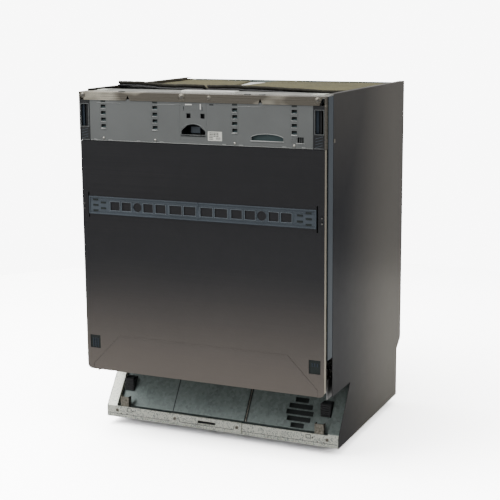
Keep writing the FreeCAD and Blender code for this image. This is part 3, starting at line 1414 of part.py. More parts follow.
def check_and_export():
    """Refuse a failed feature or a bad solid, then write one STEP file for each node."""
    doc.recompute()
    for thing in doc.Objects:
        failed = [word for word in thing.State if word in ("Invalid", "Error")]
        if failed:
            raise RuntimeError("%s (%s) did not compute: %s" % (thing.Label, thing.Name, failed))
    for thing in nodes:
        if thing.Shape.isNull() or not thing.Shape.isValid() or not thing.Shape.Solids:
            raise RuntimeError("%s has no valid solid" % thing.Label)
    os.makedirs("parts", exist_ok=True)
    for thing in nodes:
        thing.Shape.exportStep(os.path.join("parts", thing.Label + ".step"))


build()
check_and_export()
print("%d nodes written" % len(nodes))
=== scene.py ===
"""Looks of a fully integrated dishwasher: finishes, felt and fittings round the fixed frame.

Metres throughout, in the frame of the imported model: +Z up, the door faces -Y.
"""
import json
import math

import bmesh
import bpy
import numpy as np
from mathutils import Matrix, Vector


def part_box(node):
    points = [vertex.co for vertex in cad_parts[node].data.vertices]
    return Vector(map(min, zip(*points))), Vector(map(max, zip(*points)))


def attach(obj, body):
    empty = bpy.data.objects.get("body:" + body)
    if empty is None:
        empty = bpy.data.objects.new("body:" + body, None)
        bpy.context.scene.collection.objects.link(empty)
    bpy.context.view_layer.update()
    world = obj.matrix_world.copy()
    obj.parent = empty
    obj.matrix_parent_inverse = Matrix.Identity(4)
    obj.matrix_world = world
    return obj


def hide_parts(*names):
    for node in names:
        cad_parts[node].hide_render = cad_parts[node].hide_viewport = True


bl_info = {
    "name": "Built-in dishwasher looks",
    "version": (1, 0, 0),
    "blender": (4, 5, 0),
    "location": "3D Viewport > Sidebar > Dishwasher",
    "description": "Builds the visible surfaces of a built-in dishwasher round its packed frame",
    "category": "Object",
}

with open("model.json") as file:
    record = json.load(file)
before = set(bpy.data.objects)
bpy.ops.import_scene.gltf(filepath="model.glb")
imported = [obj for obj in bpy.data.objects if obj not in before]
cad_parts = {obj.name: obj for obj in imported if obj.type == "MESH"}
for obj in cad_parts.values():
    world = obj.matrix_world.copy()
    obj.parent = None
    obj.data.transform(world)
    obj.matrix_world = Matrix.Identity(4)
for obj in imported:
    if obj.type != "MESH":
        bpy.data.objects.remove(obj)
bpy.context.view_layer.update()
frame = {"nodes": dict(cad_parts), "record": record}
MM = 0.001
FINISHES = {}


# ---- settings
def colour(title, text, default):
    """A colour setting, linear, with its default."""
    return bpy.props.FloatVectorProperty(name=title, description=text, subtype="COLOR", size=3,
                                         min=0.0, max=1.0, default=default)


def length(title, text, default):
    """A length setting in metres, with its default."""
    return bpy.props.FloatProperty(name=title, description=text, subtype="DISTANCE",
                                   unit="LENGTH", default=default)


def amount(title, text, default):
    """A plain number setting."""
    return bpy.props.FloatProperty(name=title, description=text, default=default)


class DISHWASHER_PG_colours(bpy.types.PropertyGroup):
    """Colours of the finishes."""
    # painted reflection: the door skin runs from the dark upper colour to the lighter lower one
    door_top_reflection: colour("Door, upper", "Door skin toward its top", (0.060, 0.060, 0.063))
    door_bottom_reflection: colour("Door, lower", "Door skin toward its bottom", (0.190, 0.168, 0.150))
    # painted reflection: the side panel runs from the dark front colour to the pale rear one
    panel_front_reflection: colour("Side, front", "Side panel beside the door", (0.022, 0.023, 0.026))
    panel_rear_reflection: colour("Side, rear", "Side panel toward the rear", (0.270, 0.250, 0.215))
    strip_grey: colour("Strip", "Brushed strip above the cover", (0.200, 0.182, 0.148))
    # painted highlight: the cream of the strip's bright stretches
    strip_highlight: colour("Strip, bright", "Bright stretches of the strip", (0.780, 0.730, 0.590))
    zinc_dark: colour("Zinc, dark", "Dark spangles of the kick", (0.072, 0.092, 0.088))
    zinc_light: colour("Zinc, light", "Light spangles of the kick", (0.215, 0.250, 0.240))
    cover_grey: colour("Cover", "Cover of the control section", (0.128, 0.135, 0.132))
    rail_blue: colour("Rail", "Rail and side trims", (0.062, 0.077, 0.092))
    felt_olive: colour("Felt", "Felt fibres", (0.078, 0.068, 0.018))
    # the felt's dark colour: dark fibres, and the painted shade at the felt's front
    felt_dark_and_shade: colour("Felt, dark", "Dark fibres and hollows of the felt", (0.014, 0.012, 0.005))
    moulded_black: colour("Black", "Black mouldings", (0.012, 0.013, 0.014))
    moulded_white: colour("White", "White mouldings", (0.700, 0.700, 0.660))


class DISHWASHER_PG_details(bpy.types.PropertyGroup):
    """Sizes of the pieces that are added to the frame."""
    edge: length("Edge", "Rounding of sheet edges", 0.35 * MM)
    moulded_edge: length("Moulded edge", "Rounding of moulded edges", 0.7 * MM)
    proud: length("Proud", "How far rims stand out of the cover", 0.5 * MM)
    window_pitch: length("Pitch", "Height from one slot of a column to the next", 14.6 * MM)
    window_rise: length("Rise", "Lowest slot over the cover's bottom", 29.5 * MM)
    window_width: length("Slot width", "Width of a slot", 12 * MM)
    window_height: length("Slot height", "Height of a slot", 7.8 * MM)
    spring_wire: length("Spring wire", "Diameter of the spring's wire", 1.4 * MM)
    spring_pitch: length("Spring pitch", "Advance of one turn", 2.1 * MM)
    thread_pitch: length("Thread pitch", "Advance of the feet's thread", 2.0 * MM)
    felt_gauge: length("Felt gauge", "Thickness of the felt", 5 * MM)
    felt_wave: length("Felt wave", "Height of the felt's slow waves", 1.6 * MM)
    felt_curl: length("Felt curl", "How far the felt's front edge curls up", 15 * MM)
    felt_gap: length("Felt gap", "Gap between the two sheets of felt", 9 * MM)


class DISHWASHER_PG_studio(bpy.types.PropertyGroup):
    """Camera and light."""
    eye_x: length("Camera X", "Camera to the right", 1.1684)
    eye_y: length("Camera Y", "Camera in front", -2.5976)
    eye_z: length("Camera Z", "Camera above the floor", 0.9856)
    yaw: amount("Yaw", "Degrees that the camera turns to the left", 24.0)
    pitch: amount("Pitch", "Degrees that the camera looks down", 10.71)
    roll: amount("Roll", "Degrees that the camera leans", -0.41)
    lens: amount("Lens", "Focal length for a 36 mm wide sensor", 86.5)
    shift_x: amount("Shift X", "Lens shift across", -0.008)
    shift_y: amount("Shift Y", "Lens shift up", -0.0232)
    floor_radius: length("Floor", "Radius of the pale floor", 1.9)
    floor_gain: amount("Floor gain", "How white the floor is to the eye", 6.5)
    white: amount("White", "Brightness of the backdrop to the eye", 8.5)
    overhead: amount("Overhead", "Power of the overhead light", 84.0)
    left: amount("Left", "Power of the light on the left", 50.0)
    right: amount("Right", "Power of the light on the right", 30.0)


class DISHWASHER_PG_looks(bpy.types.PropertyGroup):
    """All settings of the dishwasher's looks."""
    colours: bpy.props.PointerProperty(type=DISHWASHER_PG_colours, name="Colours",
                                       description="Colours of the finishes")
    details: bpy.props.PointerProperty(type=DISHWASHER_PG_details, name="Details",
                                       description="Sizes of the added pieces")
    studio: bpy.props.PointerProperty(type=DISHWASHER_PG_studio, name="Studio",
                                      description="Camera and light")


def looks():
    """The scene's settings."""
    return bpy.context.scene.dishwasher_looks


# ---- surfaces
def grid(points, around=False, along=False):
    """Vertices and quads of a grid of points: quad (i, j) joins (i, j), (i+1, j), (i+1, j+1)
    and (i, j+1), and closes on itself along or around where asked."""
    rows, columns = points.shape[:2]
    index = np.arange(rows * columns).reshape(rows, columns)
    if along:
        index = np.vstack([index, index[:1]])
    if around:
        index = np.hstack([index, index[:, :1]])
    faces = np.stack([index[:-1, :-1], index[1:, :-1], index[1:, 1:], index[:-1, 1:]], axis=-1)
    return points.reshape(-1, 3), faces.reshape(-1, 4).tolist()


def joined(*parts):
    """Several (vertices, faces) as one, each part's face numbers moved up by what came before."""
    points, faces, start = [], [], 0
    for spots, cells in parts:
        points.append(spots)
        faces += [[corner + start for corner in cell] for cell in cells]
        start += len(spots)
    return np.vstack(points), faces


def placed(name, data):
    """A new object that holds the data, in the scene."""
    item = bpy.data.objects.new(name, data)
    bpy.context.scene.collection.objects.link(item)
    return item


def shown(name, shape, finish, body, stands_for=(), smooth=True):
    """Put a worked-out surface into the scene as a piece that rides on a body."""
    points, faces = shape
    mesh = bpy.data.meshes.new(name)
    mesh.from_pydata(points.tolist(), [], faces)
    mesh.validate()
    mesh.polygons.foreach_set("use_smooth", np.full(len(mesh.polygons), smooth))
    mesh.update()
    piece = placed(name, mesh)
    mesh.materials.append(FINISHES[finish])
    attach(piece, body)
    if stands_for:
        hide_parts(*stands_for)
    return piece


def flat(name, parts, finish, body="door"):
    """A piece of flat bars or plates."""
    return shown(name, joined(*parts), finish, body, smooth=False)


def gauged(piece, thickness):
    """Give a sheet its thickness, half to each side."""
    wall = piece.modifiers.new("Gauge", "SOLIDIFY")
    wall.thickness = thickness
    wall.offset = 0


def rounded_edges(piece, width, segments=2, angle=35):
    """Round every edge sharper than the angle, with flat faces kept flat."""
    bevel = piece.modifiers.new("Rounded edges", "BEVEL")
    bevel.width = width
    bevel.segments = segments
    bevel.limit_method = "ANGLE"
    bevel.angle_limit = math.radians(angle)
    bevel.harden_normals = True
    return piece


def full_turn(sides):
    """Equal steps of a full turn, in radians."""
    return np.linspace(0, 2 * math.pi, sides, endpoint=False)


def end_caps(count, sides):
    """The two faces that close a grid of rings: its first ring backward and its last forward."""
    return [list(range(sides - 1, -1, -1)), list(range(count - sides, count))]


def tube(path, radius, sides=10, closed=False):
    """A round tube: each path point carries a circle in the plane across the path's tangent."""
    tangent = np.gradient(path, axis=0)
    if closed:
        tangent = np.roll(path, -1, axis=0) - np.roll(path, 1, axis=0)
    tangent /= np.linalg.norm(tangent, axis=1, keepdims=True)
    guide = np.where(np.abs(tangent[:, 2:]) > 0.9, [[1.0, 0.0, 0.0]], [[0.0, 0.0, 1.0]])
    first = np.cross(tangent, guide)
    first /= np.linalg.norm(first, axis=1, keepdims=True)
    second = np.cross(tangent, first)
    turn = full_turn(sides)
    ring = (first[:, None] * np.cos(turn)[None, :, None]
            + second[:, None] * np.sin(turn)[None, :, None]) * radius
    points, faces = grid(path[:, None] + ring, around=True, along=closed)
    if not closed:
        faces += end_caps(len(points), sides)
    return points, [cell[::-1] for cell in faces]


def turned(profile, centre, axis="z", sides=32):
    """A turned piece: the profile's (radius, height) points carried round an axis by sine and
    cosine, its two ends closed by flat rings of corners."""
    profile = np.array(profile, float)
    turn = full_turn(sides)
    across = profile[:, :1] * np.cos(turn)
    aside = profile[:, :1] * np.sin(turn)
    height = np.repeat(profile[:, 1:], sides, axis=1)
    order = {"z": (across, aside, height), "y": (aside, height, across),
             "x": (height, across, aside)}[axis]
    points, faces = grid(np.stack(order, axis=-1) + np.array(centre), around=True)
    faces = [cell[::-1] for cell in faces] + end_caps(len(points), sides)
    return points, faces


def block(low, high):
    """A box's eight corners from two opposite ones, with its six outward faces."""
    corners = np.array([(x, y, z) for x in (low[0], high[0]) for y in (low[1], high[1])
                        for z in (low[2], high[2])])
    faces = [[0, 1, 3, 2], [4, 6, 7, 5], [0, 4, 5, 1], [2, 3, 7, 6], [0, 2, 6, 4], [1, 5, 7, 3]]
    return corners, faces


def strap(start, end, width, face, proud):
    """A flat bar on an upright face: the segment's two ends moved half the width each way along
    the segment's normal, and carried out by its thickness."""
    start, end = np.array(start, float), np.array(end, float)
    run = (end - start) / np.linalg.norm(end - start)
    side = np.array([-run[1], run[0]]) * width / 2
    flat = np.array([start - side, end - side, end + side, start + side])
    near = np.column_stack([flat[:, 0], np.full(4, face - proud), flat[:, 1]])
    far = near + np.array([0, proud + 0.2 * MM, 0])
    faces = [[0, 1, 2, 3], [7, 6, 5, 4]]
    faces += [[k, k + 4, (k + 1) % 4 + 4, (k + 1) % 4] for k in range(4)]
    return np.vstack([near, far]), faces


def bars(face, foot, rows):
    """Flat bars on an upright face, one for each row of (x, z, x, z, width, proud): millimetres,
    with z counted from the foot."""
    return [strap((a * MM, foot + b * MM), (c * MM, foot + d * MM), wide * MM, face, proud * MM)
            for a, b, c, d, wide, proud in rows]


def plates(face, foot, rows):
    """Boxes beside an upright face, one for each row of (x, x, y, y, z, z): millimetres, with y
    counted from the face and z from the foot."""
    return [block((a * MM, face + c * MM, foot + e * MM), (b * MM, face + d * MM, foot + f * MM))
            for a, b, c, d, e, f in rows]


def rim(x0, x1, z0, z1, width, proud):
    """Rows of the four bars round an upright rectangle, just outside it."""
    h = width / 2
    return [(x0 - width, z0 - h, x1 + width, z0 - h, width, proud),
            (x0 - width, z1 + h, x1 + width, z1 + h, width, proud),
            (x0 - h, z0, x0 - h, z1, width, proud), (x1 + h, z0, x1 + h, z1, width, proud)]


def front_of(node):
    """A part's left and right end in millimetres, its front face and its foot in metres, and its
    height in millimetres."""
    low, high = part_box(node)
    return low.x / MM, high.x / MM, low.y, low.z, (high.z - low.z) / MM


def softened(node, width, segments=2):
    """A part's own surface with its doubled corners merged, its flat facets joined and every
    sharp edge rounded; it stands for the part."""
    source = frame["nodes"][node]
    count = len(source.data.vertices)
    spots = np.zeros(count * 3)
    source.data.vertices.foreach_get("co", spots)
    spots = spots.reshape(-1, 3)
    corners = np.zeros(len(source.data.loops), np.int64)
    source.data.loops.foreach_get("vertex_index", corners)
    unique, index = np.unique(np.round(spots, 7), axis=0, return_inverse=True)
    triangles = index.reshape(-1)[corners].reshape(-1, 3)
    a, b, c = triangles.T
    triangles = triangles[(a != b) & (b != c) & (a != c)]
    piece = shown(node + "_rounded", (unique, triangles.tolist()), slot_of(node),
                  frame_body(node), stands_for=(node,))
    shape = bmesh.new()
    shape.from_mesh(piece.data)
    bmesh.ops.dissolve_limit(shape, angle_limit=math.radians(1.5), verts=shape.verts,
                             edges=shape.edges, use_dissolve_boundaries=False)
    shape.to_mesh(piece.data)
    shape.free()
    return rounded_edges(piece, width, segments)


def frame_body(node):
    """The name of the body that a part of the frame rides on."""
    groups = frame["record"]["behaviour"]["bodies"]
    return next(name for name, members in groups.items() if node in members)


def slot_of(node):
    """The material slot that the record gives a part."""
    rows = frame["record"]["subparts"]
    return next(row["material_slot"] for row in rows if row["node"] == node)


# ---- finishes
class Finish:
    """A procedural material on object coordinates."""

    def __init__(self, name, **sockets):
        self.material = bpy.data.materials.new(name)
        self.material.use_nodes = True
        self.tree = self.material.node_tree
        self.shader = self.tree.nodes["Principled BSDF"]
        for socket, value in sockets.items():
            self.shader.inputs[socket.replace("_", " ")].default_value = value
        self.place = self.add("ShaderNodeTexCoord").outputs["Object"]
        FINISHES[name] = self.material

    def add(self, kind, source=None, values=None, **settings):
        """A node with its own settings and socket values, its first socket fed by a source."""
        node = self.tree.nodes.new(kind)
        for name, value in settings.items():
            setattr(node, name, value)
        for name, value in (values or {}).items():
            node.inputs[name].default_value = value
        if source is not None:
            self.join(source, node.inputs[0])
        return node

    def join(self, source, target):
        """Link one socket to another."""
        self.tree.links.new(source, target)

    def noise(self, scale, detail=4.0, stretch=None, rough=0.5):
        """Fractal noise from 0 to 1, its place scaled apart on each axis where asked."""
        place = self.place
        if stretch:
            place = self.add("ShaderNodeMapping", place, {"Scale": stretch}).outputs["Vector"]
        values = {"Scale": scale, "Detail": detail, "Roughness": rough}
        return self.add("ShaderNodeTexNoise", place, values).outputs[0]

    def cells(self, scale):
        """One random value for each cell of a scatter of crystals."""
        return self.add("ShaderNodeTexVoronoi", self.place, {"Scale": scale}).outputs["Color"]

    def axis(self, name):
        """One coordinate of the place."""
        return self.add("ShaderNodeSeparateXYZ", self.place).outputs[name]

    def ranged(self, source, low, high, start=0.0, end=1.0, **settings):
        """A value carried from one range to another."""
        values = {"From Min": start, "From Max": end, "To Min": low, "To Max": high}
        return self.add("ShaderNodeMapRange", source, values, **settings).outputs[0]

    def along(self, axis, start, end):
        """0 at one coordinate of an axis and 1 at another, smooth between."""
        return self.ranged(self.axis(axis), 0.0, 1.0, start, end, interpolation_type="SMOOTHSTEP")

    def worked(self, operation, *values):
        """A sum, product or greater of sockets and plain numbers."""
        node = self.add("ShaderNodeMath", operation=operation)
        for slot, value in zip(node.inputs, values):
            if isinstance(value, float):
                slot.default_value = value
            else:
                self.join(value, slot)
        return node.outputs[0]

    def sum(self, first, second, share):
        """first + share * (second - 0.5)."""
        return self.worked("MULTIPLY_ADD", self.ranged(second, -0.5, 0.5), share, first)

    def ramp(self, factor, *stops):
        """A colour from a value, by (place, colour) stops."""
        node = self.add("ShaderNodeValToRGB", factor)
        marks = node.color_ramp.elements
        while len(marks) < len(stops):
            marks.new(0.5)
        for mark, (place, tint) in zip(marks, stops):
            mark.position = place
            mark.color = (*tint, 1.0)
        return node.outputs[0]

    def tint(self, source):
        """Drive the base colour."""
        self.join(source, self.shader.inputs["Base Color"])

    def gloss(self, source):
        """Drive the roughness."""
        self.join(source, self.shader.inputs["Roughness"])

    def relief(self, height, strength, depth):
        """Drive the normal by a height."""
        node = self.add("ShaderNodeBump", values={"Strength": strength, "Distance": depth})
        self.join(height, node.inputs["Height"])
        self.join(node.outputs[0], self.shader.inputs["Normal"])


BARE_METAL = (0.62, 0.57, 0.46)
FRESH_ZINC = (0.78, 0.79, 0.70)
SCRATCH = 0.2 * MM


def door_sheet(name, dark, light, top, bottom, side):
    """Satin steel door: a painted reflection that runs slowly from dark at the top to lighter at
    the bottom, fine brush lines across, faint handling marks, and bare bright metal on the cut
    lips at its two sides."""
    finish = Finish(name, Metallic=0.85, Anisotropic=0.3)
    lines = finish.noise(1.0, 3.0, (2.0, 2.0, 700.0))
    clouds = finish.noise(3.2, 3.0)
    # painted reflection: the Z ramp darkens the upper door and lightens the lower door
    tone = finish.sum(finish.sum(finish.along("Z", top, bottom), clouds, 0.16), lines, 0.12)
    across = finish.worked("ABSOLUTE", finish.axis("X"))
    lip = finish.worked("MAXIMUM", finish.ranged(tone, 0.0, 0.6),
                        finish.ranged(across, 0.0, 1.0, side - 0.0006, side - 0.0003))
    finish.tint(finish.ramp(lip, (0.0, dark), (0.6, light), (1.0, BARE_METAL)))
    finish.gloss(finish.sum(finish.ranged(lines, 0.30, 0.40), finish.noise(38.0, 4.0), 0.06))
    finish.relief(lines, 0.05, SCRATCH)


def side_sheet(name, dark, light, front, rear):
    """Satin steel side: a painted reflection, darker beside the door at mid height and paler and
    warmer toward the rear and the top, with fine upright brush lines."""
    finish = Finish(name, Metallic=0.85, Anisotropic=0.3)
    lines = finish.noise(1.0, 3.0, (500.0, 500.0, 1.4))
    # painted reflection: paler toward the top and toward the rear, dark beside the door below the
    # top
    top = finish.ranged(finish.along("Z", 0.52, 0.86), 0.0, 0.4)
    lift = finish.worked("MAXIMUM", finish.along("Y", front, rear), top)
    tone = finish.sum(finish.sum(lift, finish.noise(2.6, 3.0), 0.2), lines, 0.03)
    finish.tint(finish.ramp(tone, (0.0, dark), (1.0, light)))
    finish.gloss(finish.sum(finish.ranged(lines, 0.33, 0.35), finish.noise(38.0, 4.0), 0.05))
    finish.relief(lines, 0.01, SCRATCH)


def brushed_strip(name, grey, cream, edge):
    """Brushed strip: long lines along X, with painted cream highlights in stretches above its lower
    edge.
    """
    finish = Finish(name, Metallic=0.65, Anisotropic=0.4)
    lines = finish.noise(1.0, 4.0, (5.0, 900.0, 900.0))
    patches = finish.noise(1.0, 2.0, (9.0, 2.0, 14.0))
    # painted highlight: cream patches over the strip above its lower edge
    highlight_band = finish.worked("MULTIPLY", finish.ranged(patches, 0.0, 1.0, 0.50, 0.64),
                         finish.along("Z", edge - 0.004, edge))
    finish.tint(finish.ramp(finish.sum(highlight_band, lines, 0.06), (0.05, grey), (0.95, cream)))
    finish.gloss(finish.ranged(lines, 0.24, 0.32))
    finish.relief(lines, 0.02, SCRATCH)


def plain_steel(name, dark, light, rough, scale):
    """Plain rolled steel: fine cloudy tone and faint rolling lines along X."""
    finish = Finish(name, Metallic=1.0)
    lines = finish.noise(1.0, 3.0, (14.0, 600.0, 600.0))
    tone = finish.sum(finish.noise(scale, 5.0), lines, 0.3)
    finish.tint(finish.ramp(tone, (0.3, dark), (0.7, light)))
    finish.gloss(finish.ranged(tone, rough - 0.06, rough + 0.08))
    finish.relief(lines, 0.06, SCRATCH)


def spangled_zinc(name, dark, light, lip, gusset):
    """Galvanised sheet: flat crystals of random tone, each with its own gloss, under thin dirt;
    paler and speckled on the lip in front and on the gusset at the left end."""
    finish = Finish(name, Metallic=0.7)
    crystal = finish.cells(150.0)
    dirt = finish.noise(11.0, 6.0)
    grit = finish.noise(420.0, 3.0)
    tone = finish.sum(finish.sum(finish.ranged(crystal, 0.3, 0.7), dirt, 0.6), grit, 0.3)
    pale = finish.worked("MAXIMUM",
                         finish.ranged(finish.axis("X"), 1.3, 0.0, gusset - 0.001, gusset),
                         finish.along("Y", lip + 0.004, lip + 0.001))
    blotched = finish.worked("MULTIPLY", pale, finish.ranged(grit, 0.45, 1.0, 0.36, 0.5))
    lift = finish.worked("MULTIPLY_ADD", blotched, 0.75, finish.ranged(tone, 0.0, 0.5))
    finish.tint(finish.ramp(lift, (0.05, dark), (0.5, light), (1.0, FRESH_ZINC)))
    finish.gloss(finish.sum(finish.ranged(crystal, 0.36, 0.48), dirt, 0.2))
    finish.relief(grit, 0.06, SCRATCH)


def moulded(name, tint, rough=0.45, grain=900.0, depth=0.12, **sockets):
    """Moulded plastic: one tone with a slight drift, and an eroded fine grain."""
    finish = Finish(name, **sockets)
    drift = finish.noise(7.0, 4.0)
    pits = finish.noise(grain, 2.0)
    paler = tuple(min(1.0, part * 1.14) for part in tint)
    deeper = tuple(part * 0.88 for part in tint)
    finish.tint(finish.ramp(finish.sum(drift, pits, 0.3), (0.3, deeper), (0.7, paler)))
    finish.gloss(finish.sum(finish.ranged(drift, rough - 0.05, rough + 0.07), pits, 0.06))
    finish.relief(pits, depth, 0.3 * MM)


def matted_felt(name, olive, dark, edge):
    """Coarse felt: tangled fibres at two scales over slow patches, with painted shade that
    turns it black toward its front edge, rough, with a soft sheen."""
    finish = Finish(name, Sheen_Weight=0.08, Sheen_Roughness=0.6, Roughness=0.95)
    fibres = finish.noise(330.0, 8.0, (1.0, 1.5, 1.2), 0.75)
    tufts = finish.noise(85.0, 6.0, None, 0.65)
    patches = finish.noise(7.0, 3.0)
    pale = tuple(min(1.0, part * 1.7) for part in olive)
    # painted shade: darkens the felt at its front, the shadow under its curled edge
    front = finish.ranged(finish.along("Y", edge - 0.004, edge + 0.016), -0.75, 0.0)
    tone = finish.worked("ADD", finish.sum(finish.sum(fibres, tufts, 0.6), patches, 0.5), front)
    finish.tint(finish.ramp(tone, (0.22, dark), (0.5, olive), (0.82, pale)))
    finish.relief(finish.sum(fibres, tufts, 1.2), 0.8, 1.4 * MM)


def coated(name, tint, rough, bumps):
    """Dipped coating, or the black of the painted shadow under the felt: smooth skin with
    slow lumps and specks of dust.
    """
    finish = Finish(name, Coat_Weight=0.25, Coat_Roughness=0.3)
    lumps = finish.noise(bumps, 5.0)
    specks = finish.noise(700.0, 2.0)
    paler = tuple(min(1.0, part * 1.35 + 0.004) for part in tint)
    finish.tint(finish.ramp(finish.sum(lumps, specks, 0.3), (0.35, tint), (0.8, paler)))
    finish.gloss(finish.ranged(lumps, rough - 0.08, rough + 0.1))
    finish.relief(lumps, 0.25, 0.6 * MM)


def cast_all(tones):
    """Make every finish once."""
    door_low, door_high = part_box("door_outer_panel")
    side_low, side_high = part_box("side_panel_right")
    # heights over which the door's painted reflection turns from dark to light
    door_sheet("door_steel", tones.door_top_reflection, tones.door_bottom_reflection, door_high.z - 0.24,
               door_low.z - 0.03, door_high.x)
    # front and rear places of the side panel's painted reflection
    side_sheet("dark_steel", tones.panel_front_reflection, tones.panel_rear_reflection,
               side_low.y + 0.02, side_high.y - 0.05)
    # the strip's painted highlights start 18 mm below its top
    brushed_strip("bright_steel", tones.strip_grey, tones.strip_highlight,
                  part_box("control_strip")[1].z - 0.018)
    plain_steel("tub_steel", (0.52, 0.52, 0.51), (0.64, 0.64, 0.62), 0.22, 5.0)
    plain_steel("hinge_steel", (0.16, 0.16, 0.16), (0.34, 0.34, 0.33), 0.38, 60.0)
    plain_steel("screw_steel", (0.42, 0.41, 0.37), (0.78, 0.76, 0.70), 0.24, 300.0)
    plain_steel("pale_steel", (0.36, 0.36, 0.33), (0.50, 0.50, 0.46), 0.42, 40.0)
    plain_steel("dull_steel", (0.12, 0.11, 0.09), (0.34, 0.32, 0.27), 0.34, 200.0)
    spangled_zinc("galvanised", tones.zinc_dark, tones.zinc_light,
                  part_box("front_base_plate")[0].y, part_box("front_base_plate")[0].x + 0.026)
    moulded("grey_plastic", tones.cover_grey, 0.42)
    moulded("rail_plastic", tones.rail_blue, 0.36)
    moulded("black_plastic", tones.moulded_black, 0.42)
    moulded("white_plastic", tones.moulded_white, 0.35)
    moulded("key_plastic", (0.010, 0.010, 0.012), 0.16, depth=0.03, Coat_Weight=0.5)
    moulded("dispenser_plastic", (0.30, 0.32, 0.34), 0.38)
    coated("rack_coating", (0.36, 0.38, 0.41), 0.28, 60.0)
    moulded("seal_rubber", (0.016, 0.016, 0.017), 0.62, 400.0, 0.25)
    # edge mark of the felt's painted shade, 66 mm behind the insulation's front
    matted_felt("olive_felt", tones.felt_olive, tones.felt_dark_and_shade,
                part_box("top_insulation")[0].y + 0.066)
    # black for the sheet that paints the shadow under the felt's curled edge
    coated("felt_shadow_black", (0.006, 0.006, 0.007), 0.42, 40.0)
    moulded("slot_shadow", (0.006, 0.011, 0.010), 0.6)
    moulded("slot_teal", (0.036, 0.062, 0.064), 0.5)
    # painted highlight: pale grey for the lit lips and ledges of the cover
    moulded("pale_lip_highlight", (0.300, 0.310, 0.300), 0.35)
    # painted highlight: paler grey for the lit frames of the end caps and the hand hole's lip
    moulded("edge_highlight_grey", (0.17, 0.18, 0.18), 0.4)
    # painted highlight: paler blue for the lit rims of the rail
    moulded("rail_rim_highlight", (0.190, 0.220, 0.245), 0.34)
    moulded("cap_blue", (0.014, 0.024, 0.036), 0.4)
    moulded("label_paper", (0.66, 0.66, 0.60), 0.6, 300.0, 0.05)
    moulded("label_ink", (0.02, 0.02, 0.02), 0.6)


class DISHWASHER_OT_finishes(bpy.types.Operator):
    """Make the finishes and give each part of the frame its own"""
    bl_idname = "dishwasher.finishes"
    bl_label = "Finishes"

    def execute(self, context):
        cast_all(looks().colours)
        for node, part in frame["nodes"].items():
            part.data.materials.clear()
            part.data.materials.append(FINISHES[slot_of(node)])
        return {"FINISHED"}


# ---- case and kick
SHEET_PARTS = ("rear_frame", "top_cross_member", "worktop_brackets", "front_base_plate",
               "service_cover", "plinth_brackets", "hinge_brackets", "hinge_arms",
               "latch_striker", "flat_filter", "side_panel_left", "side_panel_right")
MOULDED_PARTS = ("lock_cover", "side_trim_left", "side_trim_right", "base_pan",
                 "spring_tensioners", "water_softener", "salt_cap", "sump", "micro_filter",
                 "circulation_pump", "drain_pump", "supply_tube", "upper_rack_tracks",
                 "cutlery_basket", "latch_rocker", "dispenser_lid", "rinse_aid_cap",
                 "detergent_dispenser", "inlet_valve", "drain_outlet", "terminal_box",
                 "power_button", "program_button", "start_button",
                 "lower_rack_front_wheels", "lower_rack_rear_wheels")


class DISHWASHER_OT_sheet_parts(bpy.types.Operator):
    """Round the edges of the pressed-steel parts"""
    bl_idname = "dishwasher.sheet_parts"
    bl_label = "Pressed-steel parts"

    def execute(self, context):
        for node in SHEET_PARTS:
            softened(node, looks().details.edge)
        bpy.data.objects["top_cross_member_rounded"].data.materials[0] = FINISHES["pale_steel"]
        bpy.data.objects["plinth_brackets_rounded"].data.materials[0] = FINISHES["dull_steel"]
        return {"FINISHED"}


class DISHWASHER_OT_moulded_parts(bpy.types.Operator):
    """Round the edges of the moulded parts"""
    bl_idname = "dishwasher.moulded_parts"
    bl_label = "Moulded parts"

    def execute(self, context):
        for node in MOULDED_PARTS:
            softened(node, looks().details.moulded_edge)
        return {"FINISHED"}


def waved(x, y, wave):
    """Slow unevenness of a laid sheet: a sum of three sines of different length and slant."""
    return wave * (0.5 * np.sin(19.0 * x + 7.0 * y) + 0.3 * np.sin(41.0 * x - 23.0 * y + 1.3)
                   + 0.2 * np.sin(67.0 * y + 31.0 * x + 0.4))


def felt_sheet(x, y, splay, floor, front, wave, rows=90, columns=70):
    """One laid sheet: its two sides drift inward by the square of the way back times their splay;
    its height is the floor, plus waves, plus a curl that rises as the square of the nearness to
    the front edge by the front's own height at that place across."""
    u, v = np.meshgrid(np.linspace(0, 1, columns), np.linspace(0, 1, rows), indexing="ij")
    left, right = x[0] + splay[0] * v ** 2, x[1] - splay[1] * v ** 2
    across = left + (right - left) * u
    fray = 0.5 * MM * np.sin(173.0 * across) + 0.3 * MM * np.sin(411.0 * across + 1.0)
    depth = y[0] + (y[1] - y[0]) * v + fray * np.maximum(0, 1 - v * 12)
    near = np.clip(1 - (depth - y[0]) / (42 * MM), 0, 1)
    height = floor + np.abs(waved(across, depth, wave)) + front(across) * near ** 2
    return grid(np.stack([across, depth, height], axis=-1))


FELT_SPLIT = -57


